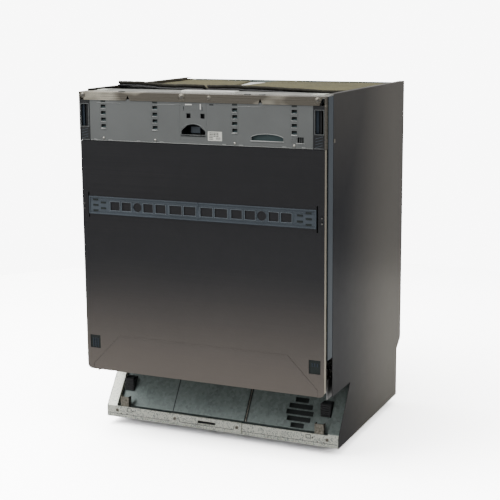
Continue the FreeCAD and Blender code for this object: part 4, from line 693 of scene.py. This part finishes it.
class DISHWASHER_OT_top_felt(bpy.types.Operator):
    """Lay the two sheets of felt on the tub, their front edges curled up over a black sheet of
    painted shadow
    """
    bl_idname = "dishwasher.top_felt"
    bl_label = "Top felt"

    def execute(self, context):
        sizes = looks().details
        low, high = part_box("top_insulation")
        gauge = sizes.felt_gauge
        middle = FELT_SPLIT * MM
        spans = {"top_felt_left": ((low.x, middle - sizes.felt_gap / 2), (0, 52 * MM)),
                 "top_felt_right": ((middle + sizes.felt_gap / 2, high.x), (14 * MM, 0))}
        # the second layer is a black sheet laid under the curl, a painted shadow
        layers = (("", "olive_felt", gauge + 2 * MM, 47 * MM, gauge),
                  ("_shadow_sheet", "felt_shadow_black", 0, 45 * MM, 1.8 * MM))

        def curl(x):
            """Height of the curled edge: highest at the left, fading to the right."""
            share = (high.x - x) / (high.x - low.x)
            wobble = 1 + 0.10 * np.sin(17.0 * x + 0.6) + 0.05 * np.sin(47.0 * x)
            return sizes.felt_curl * (0.45 + 0.75 * share) * wobble

        for name, (x, splay) in spans.items():
            for layer, finish, lift, inset, thickness in layers:
                reach = low.y + inset
                shape = felt_sheet(x, (reach, high.y - 2 * MM), splay, low.z + 1.5 * MM + lift,
                                   curl, sizes.felt_wave)
                piece = shown(name + layer, shape, finish, "case",
                              ("top_insulation",) if not layer else ())
                gauged(piece, thickness)
        underlay = plates(high.y, low.z, [(FELT_SPLIT - 70, FELT_SPLIT + 24, -150, -3, 7, 8)])
        flat("felt_underlay", underlay, "label_paper", "case")
        return {"FINISHED"}


class DISHWASHER_OT_rear_felt(bpy.types.Operator):
    """Hang the thin sheet of felt on the tub's rear wall, pressed in at its fixing points"""
    bl_idname = "dishwasher.rear_felt"
    bl_label = "Rear felt"

    def execute(self, context):
        low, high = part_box("rear_insulation")
        u, v = np.meshgrid(np.linspace(0, 1, 60), np.linspace(0, 1, 70), indexing="ij")
        x, z = low.x + (high.x - low.x) * u, low.z + (high.z - low.z) * v
        # pressed in where pins hold it: four by five fields, each the root of two crossed sines
        quilt = np.abs(np.sin(4 * math.pi * u) * np.sin(5 * math.pi * v)) ** 0.5
        y = low.y + 1.4 * MM + 1.6 * MM * quilt
        shape = grid(np.stack([x, y, z], axis=-1))
        piece = shown("rear_felt", shape, "olive_felt", "case", ("rear_insulation",))
        gauged(piece, 2 * MM)
        return {"FINISHED"}


def pan_head(x, face, z, radius, height):
    """A pan-head screw, in millimetres but for its face and z: a flat-topped dome, a quarter
    ellipse carried round Y."""
    turn = np.linspace(0, math.pi / 2, 6)
    profile = [(radius * 0.98 * MM, 0.4 * MM)]
    profile += [(radius * (0.55 + 0.45 * math.cos(a)) * MM, -height * math.sin(a) * MM)
                for a in turn]
    return turned(profile, (x * MM, face, z), "y", 24)


def cross_recess(x, face, z, radius):
    """The painted shade of a screw's cross recess: two crossed dark bars that lean a little."""
    reach, lean, width = radius * 0.5, radius * 0.15, radius * 0.2
    return bars(face, z, [(x - reach, -lean, x + reach, lean, width, 0.12),
                          (x + lean, -reach, x - lean, reach, width, 0.12)])


class DISHWASHER_OT_screws(bpy.types.Operator):
    """Turn the screws of the strip and the kick, and the pegs along the cover"""
    bl_idname = "dishwasher.screws"
    bl_label = "Screws and pegs"

    def execute(self, context):
        left, right, face, foot, tall = front_of("control_strip")
        height = foot + (tall - 7.6) * MM
        heads, dark = [], []
        for x, radius in ((left + 10, 5), (-36, 6), (30, 4), (right - 16, 5)):
            washer = [(radius * 1.35 * MM, 0.3 * MM), (radius * 1.35 * MM, -0.4 * MM),
                      (radius * 1.1 * MM, -0.55 * MM)]
            heads += [pan_head(x, face, height, radius, 1.5),
                      turned(washer, (x * MM, face, height), "y", 28)]
            # painted shade in the recess of each strip screw
            dark += cross_recess(x, face - 1.5 * MM, height, radius)
        left, right, face, foot, tall = front_of("control_cover")
        pegs = [pan_head(x, face, foot + 6 * MM, 2.8, 2) for x in columns_of(left, right)]
        shown("cover_pegs", joined(*pegs), "screw_steel", "door")
        shown("strip_screws", joined(*heads), "dull_steel", "door", ("door_screws",))
        flat("strip_recess_shade", dark, "hinge_steel")
        left, right, face, foot, tall = front_of("base_screws")
        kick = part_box("front_base_plate")[0].y
        heads, dark = [], []
        for x, out in ((left + 4, 0), (right - 4, 0), (-113, 2.5), (49, 2.5)):
            spot = (x, kick - out * MM, foot + tall / 2 * MM)
            heads.append(pan_head(*spot, 4, 2))
            dark += cross_recess(x, spot[1] - 2 * MM, spot[2], 4)
        profile = np.array([(4.2, -0.2), (4.2, 0.5), (3.0, 1.3), (0.6, 1.5)]) * MM
        centre = (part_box("side_panel_right")[1].x, -224 * MM, 716 * MM)
        shown("side_screw", turned(profile, centre, "x", 24), "dull_steel", "case")
        shown("kick_screws", joined(*heads), "dull_steel", "case", ("base_screws",))
        flat("kick_recesses", dark, "slot_shadow", "case")
        return {"FINISHED"}


def on_slope(x0, x1, low, high, lift):
    """A thin plate on the kick's slope, in millimetres: its corners are the slope's own line
    between two heights, carried out along the slope's normal."""
    kick_low, kick_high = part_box("front_base_plate")
    foot = np.array([kick_low.y + 15 * MM, kick_low.z + 28 * MM])
    head = np.array([kick_high.y - 12 * MM, kick_high.z])
    out = np.array([foot[1] - head[1], head[0] - foot[0]]) / np.linalg.norm(head - foot)
    line = [foot + (head - foot) * (z * MM - foot[1]) / (head[1] - foot[1]) for z in (low, high)]
    corners = np.array([(across * MM, *(spot + out * rise * MM)) for across in (x0, x1)
                        for spot in line for rise in (lift, lift + 0.4)])
    return corners, block((0, 0, 0), (1, 1, 1))[1]


class DISHWASHER_OT_kick_details(bpy.types.Operator):
    """Seams beside the service cover, dark backs of the vent, embossed marks and lip lines"""
    bl_idname = "dishwasher.kick_details"
    bl_label = "Kick details"

    def execute(self, context):
        left, right, face, foot, _ = front_of("front_base_plate")
        near, far, cover_face, _, _ = front_of("service_cover")
        bend, top = foot / MM + 28, 149
        dark = [on_slope(near - 3.5, near, bend, top, 0.1), on_slope(far, far + 7, bend, top, 0.1),
                on_slope(152, 230, 47, 114, -9)]
        light = [on_slope(far + 2.6, far + 3.6, bend, top, 0.5)]
        marks = [(left + 2, 29, near, 29, 0.9, 0.15), (far, 29, right - 2, 29, 0.9, 0.15)]
        for x in (-238, 226):
            marks += rim(x - 5, x + 5, 37, 44, 1.2, 0.2) + [(x + 8, 37, x + 12, 41, 2, 0.2)]
        marks += [(x, 30, x + 3, 30, 3, 0.2) for x in (-262, -246, 246, 262)]
        tray = [(-100, 31, 40, 31, 1.1, 0.15), (-100, 31, -103, 42, 1.1, 0.15),
                (40, 31, 43, 42, 1.1, 0.15)]
        dark += bars(face, 0, marks) + bars(cover_face, 0, tray)
        flat("kick_seams", dark, "slot_shadow", "case")
        flat("kick_seam_edge", light, "dull_steel", "case")
        return {"FINISHED"}


class DISHWASHER_OT_springs(bpy.types.Operator):
    """Wind the two door springs"""
    bl_idname = "dishwasher.springs"
    bl_label = "Door springs"

    def execute(self, context):
        sizes = looks().details
        low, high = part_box("hinge_springs")
        radius = (high.z - low.z) / 2 - sizes.spring_wire / 2
        centre = (high.z + low.z) / 2
        turns = (high.y - low.y - 2 * sizes.spring_wire) / sizes.spring_pitch
        steps = np.linspace(0, turns, int(turns * 14))
        coils = []
        for side in (-1, 1):
            middle = side * (high.x - (high.z - low.z) / 2)
            # a helix: a circle across Y that advances one pitch each turn
            path = np.column_stack([middle + radius * np.cos(2 * math.pi * steps),
                                    low.y + sizes.spring_wire + sizes.spring_pitch * steps,
                                    centre + radius * np.sin(2 * math.pi * steps)])
            coils.append(tube(path, sizes.spring_wire / 2, 7))
        piece = shown("door_springs", joined(*coils), "hinge_steel", "case", ("hinge_springs",))
        return {"FINISHED"}


class DISHWASHER_OT_feet(bpy.types.Operator):
    """Turn the levelling feet with their threads"""
    bl_idname = "dishwasher.feet"
    bl_label = "Levelling feet"

    def execute(self, context):
        pitch = looks().details.thread_pitch
        for node in ("foot_front_left", "foot_front_right", "foot_rear"):
            low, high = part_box(node)
            centre = ((low.x + high.x) / 2, (low.y + high.y) / 2, 0)
            pad = (high.x - low.x) / 2
            # stem: a radius that swings between crest and root twice each pitch
            heights = np.arange(12 * MM, high.z - 1 * MM, pitch / 2)
            crest = np.where(np.arange(len(heights)) % 2 == 0, 5.0 * MM, 4.3 * MM)
            profile = [(pad * 0.94, 0), (pad, 0.8 * MM), (pad, 3.6 * MM), (pad * 0.94, 4.6 * MM),
                       (pad * 0.6, 8.4 * MM), (pad * 0.5, 9 * MM), (5.0 * MM, 9.2 * MM)]
            profile += list(zip(crest, heights)) + [(4.0 * MM, high.z)]
            piece = shown(node + "_turned", turned(profile, centre, "z", 28), "black_plastic",
                          frame_body(node), (node,))
        return {"FINISHED"}


# ---- tub
def rounded_rectangle(x, z, radius, corner_steps=8):
    """Points round a rectangle whose corners are quarter circles."""
    turns = np.concatenate([np.linspace(k, k + 1, corner_steps) for k in range(4)]) * math.pi / 2
    quarter = np.repeat(np.arange(4), corner_steps)
    right = np.array([1, -1, -1, 1])[quarter]
    upper = np.array([1, 1, -1, -1])[quarter]
    centre_x = np.where(right > 0, x[1] - radius, x[0] + radius)
    centre_z = np.where(upper > 0, z[1] - radius, z[0] + radius)
    return centre_x + radius * np.cos(turns), centre_z + radius * np.sin(turns)


class DISHWASHER_OT_tub(bpy.types.Operator):
    """Round the tub and the inner door, and run the gasket round the mouth"""
    bl_idname = "dishwasher.tub"
    bl_label = "Tub, inner door and gasket"

    def execute(self, context):
        softened("tub", 1.2 * MM, 3)
        softened("door_inner_panel", 1.6 * MM, 3)
        low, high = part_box("door_seal")
        # the gasket's section: an ellipse that swells three times round by a cosine
        width, depth = 4.6 * MM, (high.y - low.y) / 2
        x, z = rounded_rectangle((low.x + width, high.x - width), (low.z + width, high.z - width),
                                 10 * MM)
        turn = full_turn(20)
        swell = 1 + 0.12 * np.cos(3 * turn)
        path = np.column_stack([x, z])
        step = np.roll(path, -1, axis=0) - np.roll(path, 1, axis=0)
        normal = np.column_stack([step[:, 1], -step[:, 0]])
        normal /= np.linalg.norm(normal, axis=1, keepdims=True)
        bulge = width * 0.9 * np.cos(turn) * swell
        middle = np.full((len(x), 1), (low.y + high.y) / 2)
        ring = np.stack([x[:, None] + normal[:, :1] * bulge,
                         middle + depth * 0.88 * np.sin(turn) * swell,
                         z[:, None] + normal[:, 1:] * bulge], axis=-1)
        piece = shown("gasket", grid(ring, around=True, along=True), "seal_rubber", "case",
                      ("door_seal",))
        return {"FINISHED"}


def blade(centre, reach, hub, root, tip, low, high, side):
    """One blade of a spray arm: along it the half width falls from root to tip and closes in a
    quarter ellipse, and each section is a flattened ellipse."""
    s, turn = np.meshgrid(np.linspace(0, 1, 40), full_turn(20),
                          indexing="ij")
    end = np.sqrt(np.clip(1 - np.clip((s - 0.94) / 0.06, 0, 1) ** 2, 0.003, 1))
    half = (root + (tip - root) * s) * end
    thick = (high - low) / 2 * (0.8 + 0.2 * (1 - s)) * (0.4 + 0.6 * end)
    x = centre[0] + side * (hub * 0.8 + (reach - hub * 0.8) * s)
    y = centre[1] + half * np.sign(np.cos(turn)) * np.abs(np.cos(turn)) ** 0.8
    z = (low + high) / 2 + thick * np.sign(np.sin(turn)) * np.abs(np.sin(turn)) ** 0.8
    points, faces = grid(np.stack([x, y, z], axis=-1), around=True)
    faces += end_caps(len(points), 20)
    return points, faces if side < 0 else [cell[::-1] for cell in faces]


class DISHWASHER_OT_spray_arms(bpy.types.Operator):
    """Shape the three spray arms with their hubs and jets"""
    bl_idname = "dishwasher.spray_arms"
    bl_label = "Spray arms"

    def execute(self, context):
        for node, bore in (("lower_spray_arm", 12.1), ("upper_spray_arm", 9.7),
                           ("top_spray_arm", 6.1)):
            low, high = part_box(node)
            centre = ((low.x + high.x) / 2, (low.y + high.y) / 2)
            bore = bore * MM
            hub = bore + 13.5 * MM
            parts = [blade(centre, high.x - 0.5 * MM, hub, 22 * MM, 11 * MM, low.z + 4 * MM,
                           high.z - 3.4 * MM, side) for side in (-1, 1)]
            ring = [(bore, low.z + 0.3 * MM), (hub - 1 * MM, low.z), (hub, low.z + 1 * MM),
                    (hub, high.z - 1 * MM), (hub - 1 * MM, high.z - 0.1 * MM),
                    (bore, high.z - 0.2 * MM)]
            points, faces = turned(ring, (*centre, 0), "z", 36)
            inner = grid(np.stack([points[-36:], points[:36]]), around=True)
            parts.append((points, faces[:-2]))
            parts.append((inner[0], [cell[::-1] for cell in inner[1]]))
            for side in (-1, 1):
                for step in range(1, 6):
                    spot = centre[0] + side * (high.x - centre[0]) * (step / 6 + 0.02)
                    parts.append(turned([(3.2 * MM, 0), (2.6 * MM, 2.0 * MM), (1.4 * MM, 2.6 * MM)],
                                        (spot, centre[1] + (3 - step) * 1.5 * MM, high.z - 6 * MM),
                                        "z", 12))
            piece = shown(node + "_shaped", joined(*parts), "dispenser_plastic", frame_body(node),
                          (node,))
        return {"FINISHED"}


# ---- door
class DISHWASHER_OT_door_skin(bpy.types.Operator):
    """Round the door skin, its crease and its openings, with hinge clips behind the lower ones"""
    bl_idname = "dishwasher.door_skin"
    bl_label = "Door skin"

    def execute(self, context):
        skin = softened("door_outer_panel", 0.45 * MM, 3)
        skin.data.materials[0] = FINISHES["door_steel"]
        _, right, face, foot, _ = front_of("door_outer_panel")
        shades, clips = [], []
        for side, clip_foot in ((-1, 53), (1, 67)):
            x = side * (right - 22.5)
            shades.append((x - 15, x + 15, 2.4, 3.4, 49, 84))
            clips += [(x + step, x + step + 3, 1.4, 2.4, clip_foot, 75) for step in (-7, -1, 5)]
        flat("hinge_window_backs", plates(face, foot, shades), "slot_shadow")
        rounded_edges(flat("hinge_window_clips", plates(face, foot, clips), "cap_blue"), 0.5 * MM)
        return {"FINISHED"}


def columns_of(left, right):
    """Middle of each slotted column of the cover, in millimetres."""
    return left + 35, -103, 90, right - 42


def slot_work(sizes, left, right, tall):
    """Rows of the rims, lips, sills and dark backs of the cover's slots, column by column; the
    lips are drawn pale as painted highlights.
    """
    rims, lips, sills, backs = [], [], [], []
    half, high, out = sizes.window_width / MM / 2, sizes.window_height / MM, sizes.proud / MM
    rise, pitch = sizes.window_rise / MM, sizes.window_pitch / MM
    for x in columns_of(left, right):
        for z in rise + pitch * np.arange(4):
            rims += rim(x - half, x + half, z, z + high, 0.9, out * 0.6)
            sills.append((x - half + 0.3, x + half - 0.3, 2.6, 4.8, z, z + 3.2))
            # painted highlight: the pale lip under each slot
            lips.append((x - half - 0.6, z - 0.7, x + half + 0.6, z - 0.7, 1.2, out * 1.4))
        lips.append((x - half - 1, rise - 2.2, x + half + 1, rise - 2.2, 1.8, out * 1.8))
        rims += [(edge, rise - 4, edge, tall - 4, 0.7, out * 0.4)
                 for edge in (x - half - 3.2, x + half + 3.2)]
        backs += [(x - half, x + half, -0.15, 0.2, tall - 7.4, tall - 3.4),
                  (x - half - 2, x + half + 2, 5, 6, rise - 2, tall - 5)]
    return rims, lips, sills, backs


def latch_work(out):
    """Rows of the outline, bright bars and dark slits of the latch's housing on the cover; the
    last row of the outline is its lip."""
    rims = [(-42, 9, -42, 89, 0.8, out * 0.6), (22, 9, 22, 89, 0.8, out * 0.6),
            (-42, 75, 22, 75, 0.6, out * 0.4), (-42, 9, 22, 9, 0.8, out * 0.6),
            (-39, 19, 20, 19, 1.9, out * 2)]
    white = [(-28, 86, -12, 86, 2.6, 0.8), (9, 76, 9, 88, 2.6, 0.8)]
    dark = [(-32, 73, -32, 82, 1.6, 0.15), (12.6, 73, 12.6, 82, 1.6, 0.15),
            (30, 87, 40, 87, 3, 0.15), (-39, 17.6, 20, 17.6, 0.7, out * 0.8)]
    return rims, white, dark


def recess_lip(face, foot):
    """The raised lip over the long recess: a tube that rises and falls by a power of a sine."""
    share = np.linspace(0, 1, 26)
    path = np.column_stack([(129 + 73 * share) * MM, np.full(26, face),
                            foot + (21.4 + 7 * np.sin(math.pi * share) ** 0.6) * MM])
    return tube(path, 0.55 * MM, 8)


def hand_hole_lip(face, foot):
    """The raised lip over the hand hole: a tube along half an ellipse."""
    turn = np.linspace(math.pi, 0, 28)
    path = np.column_stack([(-9.5 + 29.8 * np.cos(turn)) * MM, np.full(28, face),
                            foot + (29 + 15.6 * np.sin(turn)) * MM])
    return tube(path, 0.5 * MM, 8)


def label_print():
    """Rows of short printed bars that spell nothing, each as long as a sine of its place."""
    ink = []
    for row in range(5):
        x, z = 28.5, 26.5 - 3.4 * row
        for column in range(6):
            run = 1.6 + 2.2 * abs(math.sin(3.1 * row + 1.7 * column))
            if row < 3 or column < 3:
                ink.append((x, z, x + run, z, 2.0, 0.05))
            x += run + 1.1
    return ink + [(x, 12, x, 17.5, 0.9, 0.05) for x in 46 + 2.2 * np.arange(5)]


class DISHWASHER_OT_control_cover(bpy.types.Operator):
    """Round the cover and add its rims, sills, latch marks, lips, label and backs"""
    bl_idname = "dishwasher.control_cover"
    bl_label = "Control cover"

    def execute(self, context):
        sizes = looks().details
        softened("control_cover", 0.4 * MM)
        softened("latch_housing", 0.4 * MM)
        left, right, face, foot, tall = front_of("control_cover")
        out = sizes.proud / MM
        rims, lips, sills, backs = slot_work(sizes, left, right, tall)
        latch_rims, white, dark = latch_work(out)
        rims += latch_rims + [(x, 12, x + 5, 23, 0.9, out) for x in (218, 222.5, 227)]
        rims.append((left + 1, 1.2, right - 1, 1.2, 1.6, out))
        # painted highlights: the lips, the cover's bottom edge, the recess lip and the latch's lip
        # are drawn pale
        lips += [(127, 12.6, 204, 12.6, 2.2, out * 2), (232, 10.8, 250, 10.8, 1.6, out * 1.4),
                 (left + 1, 0.9, right - 1, 0.9, 0.9, out * 1.2), latch_rims[-1]]
        lips += [(x, 2.6, x + 9, 2.6, 1.4, out) for x in (-260, -222, -150, -92, 60, 100, 200, 244)]
        lips += [(x, 85, x + 60, 85, 0.7, out) for x in (-250, -98, 98)]
        backs.append((232, 250, 5, 6, 10, 26))
        ribs = bars(face + 2.5 * MM, foot, [(x, 12, x, 24, 1.0, 0.4) for x in (238.5, 243)])
        recess = [(126, 205, 5, 6, 12, 31)]
        pull = [(-21, 2, 12, 15, 23, 38)]
        label = [(26, 19.6, 59.5, 19.6, 19.9, 0.12)]
        rounded_edges(flat("cover_rims", bars(face, foot, rims) + ribs, "grey_plastic"),
                      0.12 * MM, 1)
        shown("cover_lip_highlights", joined(*bars(face, foot, lips), recess_lip(face, foot)), "pale_lip_highlight",
              "door")
        # painted highlight: the hand hole's lip is drawn paler than the cover
        shown("hand_hole_lip", hand_hole_lip(face, foot), "edge_highlight_grey", "door")
        flat("cover_sills", plates(face, foot, sills), "slot_teal")
        flat("cover_backs", plates(face, foot, backs), "slot_shadow")
        flat("recess_back", plates(face, foot, recess), "slot_teal")
        rounded_edges(flat("hand_hole_pull", plates(face, foot, pull), "rail_plastic"), 1.2 * MM, 3)
        rounded_edges(flat("latch_bars", bars(face, foot, white), "white_plastic"), 0.2 * MM)
        flat("latch_slits", bars(face, foot, dark), "slot_shadow")
        flat("label_sheet", bars(face, foot, label), "label_paper")
        flat("label_print", bars(face - 0.12 * MM, foot, label_print()), "label_ink")
        return {"FINISHED"}


class DISHWASHER_OT_control_ends(bpy.types.Operator):
    """Round the end caps and the strip, and rib the caps"""
    bl_idname = "dishwasher.control_ends"
    bl_label = "Strip and end caps"

    def execute(self, context):
        thin = looks().details.proud / MM * 0.6
        softened("control_strip", 0.4 * MM)
        softened("control_end_caps", 0.5 * MM)
        _, right, face, foot, _ = front_of("control_end_caps")
        rims, light, backs = [], [], []
        for side in (-1, 1):
            x0, x1 = sorted((side * (right - 21.6), side * (right - 2.2)))
            # painted highlight: the frames round the caps' recesses and their bottom lines, drawn
            # pale
            light += rim(x0, x1, 31.5, 81.5, 1.0, thin)
            light.append((side * (right - 2), 1.5, side * (right - 24), 1.5, 1, thin))
            rims += [(x0 + 1, z, x1 - 2, z + 4.5, 1.0, thin) for z in (4, 10, 16, 22)]
            backs.append((x0 + 1, x0 + 7, 4.6, 5.6, 33, 80))
        rounded_edges(flat("cap_rims", bars(face, foot, rims), "rail_plastic"), 0.15 * MM, 1)
        flat("cap_frame_highlights", bars(face, foot, light), "edge_highlight_grey")
        flat("cap_backs", plates(face, foot, backs), "cap_blue")
        return {"FINISHED"}


RAIL_CELLS = ((5.5, 35.5), (40, 71), (80, 106), (112, 137), (168, 192), (197, 222))
RAIL_RIBS = (78, 109, 140, 165, 194.5, 226)
RAIL_SLOTS = ((240, -6.5), (240, 6.5), (260, -12.5), (260, 0), (260, 12.5))


class DISHWASHER_OT_mounting_rail(bpy.types.Operator):
    """Round the rail and add its ribs, rims, slots, centre seam and end marks"""
    bl_idname = "dishwasher.mounting_rail"
    bl_label = "Mounting rail"

    def execute(self, context):
        softened("mounting_rail", 0.35 * MM)
        left, right, face, foot, tall = front_of("mounting_rail")
        middle, circle = tall / 2, full_turn(40)
        ribs, seam, rims, slots, pins, rings = [], [], [], [], [], []
        for side in (-1, 1):
            ribs += [(side * x, middle - 9, side * x, middle + 9, 0.8, 0.7) for x in RAIL_RIBS]
            rings.append(tube(np.column_stack([(side * 152 + 11.2 * np.cos(circle)) * MM,
                                               np.full(40, face + 1.6 * MM),
                                               foot + (middle + 11.2 * np.sin(circle)) * MM]),
                              0.6 * MM, 8, closed=True))
            seam.append((0, tall - 1, side * 2.5, middle, 0.8, 0.1))
            for cell in RAIL_CELLS:
                x0, x1 = sorted(side * x for x in cell)
                rims += rim(x0, x1, middle - 10, middle + 10, 0.7, 0.3)
            slots += [(side * (x - 6.5), middle + z, side * (x + 6.5), middle + z, 3.6, 0.1)
                      for x, z in RAIL_SLOTS]
            pins += [(side * 288.5, middle + z, side * 290.5, middle + z, 3, 0.15) for z in (-9, 3)]
        rims += [(left + 1, z, right - 1, z, 0.8, 0.4) for z in (tall - 0.8, 0.8)]
        slots += [(-1.6, z, 1.6, z, 3, 0.5) for z in (1, tall - 1)]
        flat("rail_ribs", bars(face + 1.6 * MM, foot, ribs) + rings + bars(face, foot, seam),
             "rail_plastic")
        flat("rail_slots", bars(face + 0.6 * MM, foot, slots), "slot_shadow")
        # painted highlight: the rims round the rail's windows and along its top and bottom are
        # drawn pale
        flat("rail_rims_highlighted", bars(face + 0.6 * MM, foot, rims), "rail_rim_highlight")
        flat("skin_pins", bars(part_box("door_outer_panel")[0].y, foot, pins), "screw_steel")
        return {"FINISHED"}


# ---- studio
def area_light(name, place, target, size, power, tint=(1.0, 1.0, 1.0)):
    """A soft rectangular light that faces a point."""
    data = bpy.data.lights.new(name, "AREA")
    data.shape = "RECTANGLE"
    data.size, data.size_y = size
    data.energy = power
    data.color = tint
    lamp = placed(name, data)
    lamp.location = place
    lamp.rotation_euler = (Vector(target) - Vector(place)).to_track_quat("-Z", "Y").to_euler()


def studio_world(brightness):
    """White to the eye; for light, dim round the horizon and bright overhead."""
    world = bpy.data.worlds.new("Studio")
    bpy.context.scene.world = world
    world.use_nodes = True
    world.node_tree.nodes.clear()
    out, seen, lit, mix, path, place, split, ramp = (
        world.node_tree.nodes.new("ShaderNode" + kind)
        for kind in ("OutputWorld", "Background", "Background", "MixShader", "LightPath",
                     "TexCoord", "SeparateXYZ", "ValToRGB"))
    seen.inputs["Color"].default_value = (1, 1, 1, 1)
    seen.inputs["Strength"].default_value = brightness
    horizon, zenith = ramp.color_ramp.elements
    horizon.position, horizon.color = 0.05, (0.26, 0.26, 0.27, 1)
    zenith.position, zenith.color = 0.8, (0.95, 0.95, 0.94, 1)
    for source, target in ((place.outputs["Generated"], split.inputs[0]),
                           (split.outputs["Z"], ramp.inputs[0]),
                           (ramp.outputs[0], lit.inputs["Color"]),
                           (path.outputs["Is Camera Ray"], mix.inputs[0]),
                           (lit.outputs[0], mix.inputs[1]), (seen.outputs[0], mix.inputs[2]),
                           (mix.outputs[0], out.inputs[0])):
        world.node_tree.links.new(source, target)


def floor_disc(radius):
    """A round floor: rings of points from the middle out, each a circle of sines and cosines."""
    reach, turn = np.meshgrid(np.linspace(0.02, 1, 24) * radius,
                              full_turn(96), indexing="ij")
    points, faces = grid(np.stack([reach * np.cos(turn), reach * np.sin(turn), 0 * reach], axis=-1),
                         around=True)
    return points, [list(range(96))] + faces


class DISHWASHER_OT_stage(bpy.types.Operator):
    """Set up the floor, the lights, the world and the camera"""
    bl_idname = "dishwasher.stage"
    bl_label = "Stage"

    def execute(self, context):
        studio = looks().studio
        paper = Finish("studio_paper")
        eye = paper.add("ShaderNodeLightPath").outputs["Is Camera Ray"]
        chalk = paper.add("ShaderNodeBsdfDiffuse")
        paper.join(paper.ranged(eye, 0.46, studio.floor_gain), chalk.inputs["Color"])
        paper.join(chalk.outputs[0], paper.tree.nodes["Material Output"].inputs["Surface"])
        points, faces = floor_disc(studio.floor_radius)
        mesh = bpy.data.meshes.new("studio_floor")
        mesh.from_pydata(points.tolist(), [], faces)
        mesh.materials.append(FINISHES["studio_paper"])
        placed("studio_floor", mesh)
        area_light("overhead", (-0.8, -0.6, 2.8), (0, 0, 0.3), (2.5, 2.5), studio.overhead)
        area_light("left", (-2.6, -2.6, 2.2), (0, 0, 0.4), (2.2, 2.2), studio.left)
        area_light("right", (3.2, -0.6, 2.0), (0, 0, 0.4), (1.8, 1.8), studio.right,
                   (1.0, 0.98, 0.95))
        studio_world(studio.white)
        data = bpy.data.cameras.new("eye")
        data.sensor_width = 36.0
        data.lens = studio.lens
        data.shift_x, data.shift_y = studio.shift_x, studio.shift_y
        data.clip_start = 0.05
        camera = placed("eye", data)
        camera.location = (studio.eye_x, studio.eye_y, studio.eye_z)
        turn = (Matrix.Rotation(math.radians(studio.yaw), 4, "Z")
                @ Matrix.Rotation(math.radians(90 - studio.pitch), 4, "X")
                @ Matrix.Rotation(math.radians(studio.roll), 4, "Z"))
        camera.rotation_euler = turn.to_euler()
        context.scene.camera = camera
        return {"FINISHED"}


class DISHWASHER_PT_looks(bpy.types.Panel):
    """Sidebar panel that lists the builders"""
    bl_label = "Dishwasher"
    bl_idname = "DISHWASHER_PT_looks"
    bl_space_type = "VIEW_3D"
    bl_region_type = "UI"
    bl_category = "Dishwasher"

    def draw(self, context):
        for builder in BUILDERS:
            self.layout.operator(builder.bl_idname)


BUILDERS = (DISHWASHER_OT_stage, DISHWASHER_OT_finishes, DISHWASHER_OT_sheet_parts,
            DISHWASHER_OT_moulded_parts, DISHWASHER_OT_top_felt, DISHWASHER_OT_rear_felt,
            DISHWASHER_OT_screws, DISHWASHER_OT_kick_details, DISHWASHER_OT_springs,
            DISHWASHER_OT_feet, DISHWASHER_OT_tub, DISHWASHER_OT_spray_arms,
            DISHWASHER_OT_door_skin, DISHWASHER_OT_control_cover, DISHWASHER_OT_control_ends,
            DISHWASHER_OT_mounting_rail)
GROUPS = (DISHWASHER_PG_colours, DISHWASHER_PG_details, DISHWASHER_PG_studio, DISHWASHER_PG_looks)


def register():
    """Make the settings, the builders and the panel known."""
    for kind in GROUPS + BUILDERS + (DISHWASHER_PT_looks,):
        bpy.utils.register_class(kind)
    bpy.types.Scene.dishwasher_looks = bpy.props.PointerProperty(type=DISHWASHER_PG_looks)


def unregister():
    """Forget them again, last first."""
    del bpy.types.Scene.dishwasher_looks
    for kind in reversed(GROUPS + BUILDERS + (DISHWASHER_PT_looks,)):
        bpy.utils.unregister_class(kind)


def main():
    register()
    for builder in BUILDERS:
        group, name = builder.bl_idname.split(".")
        getattr(getattr(bpy.ops, group), name)()


if __name__ == "__main__":
    main()
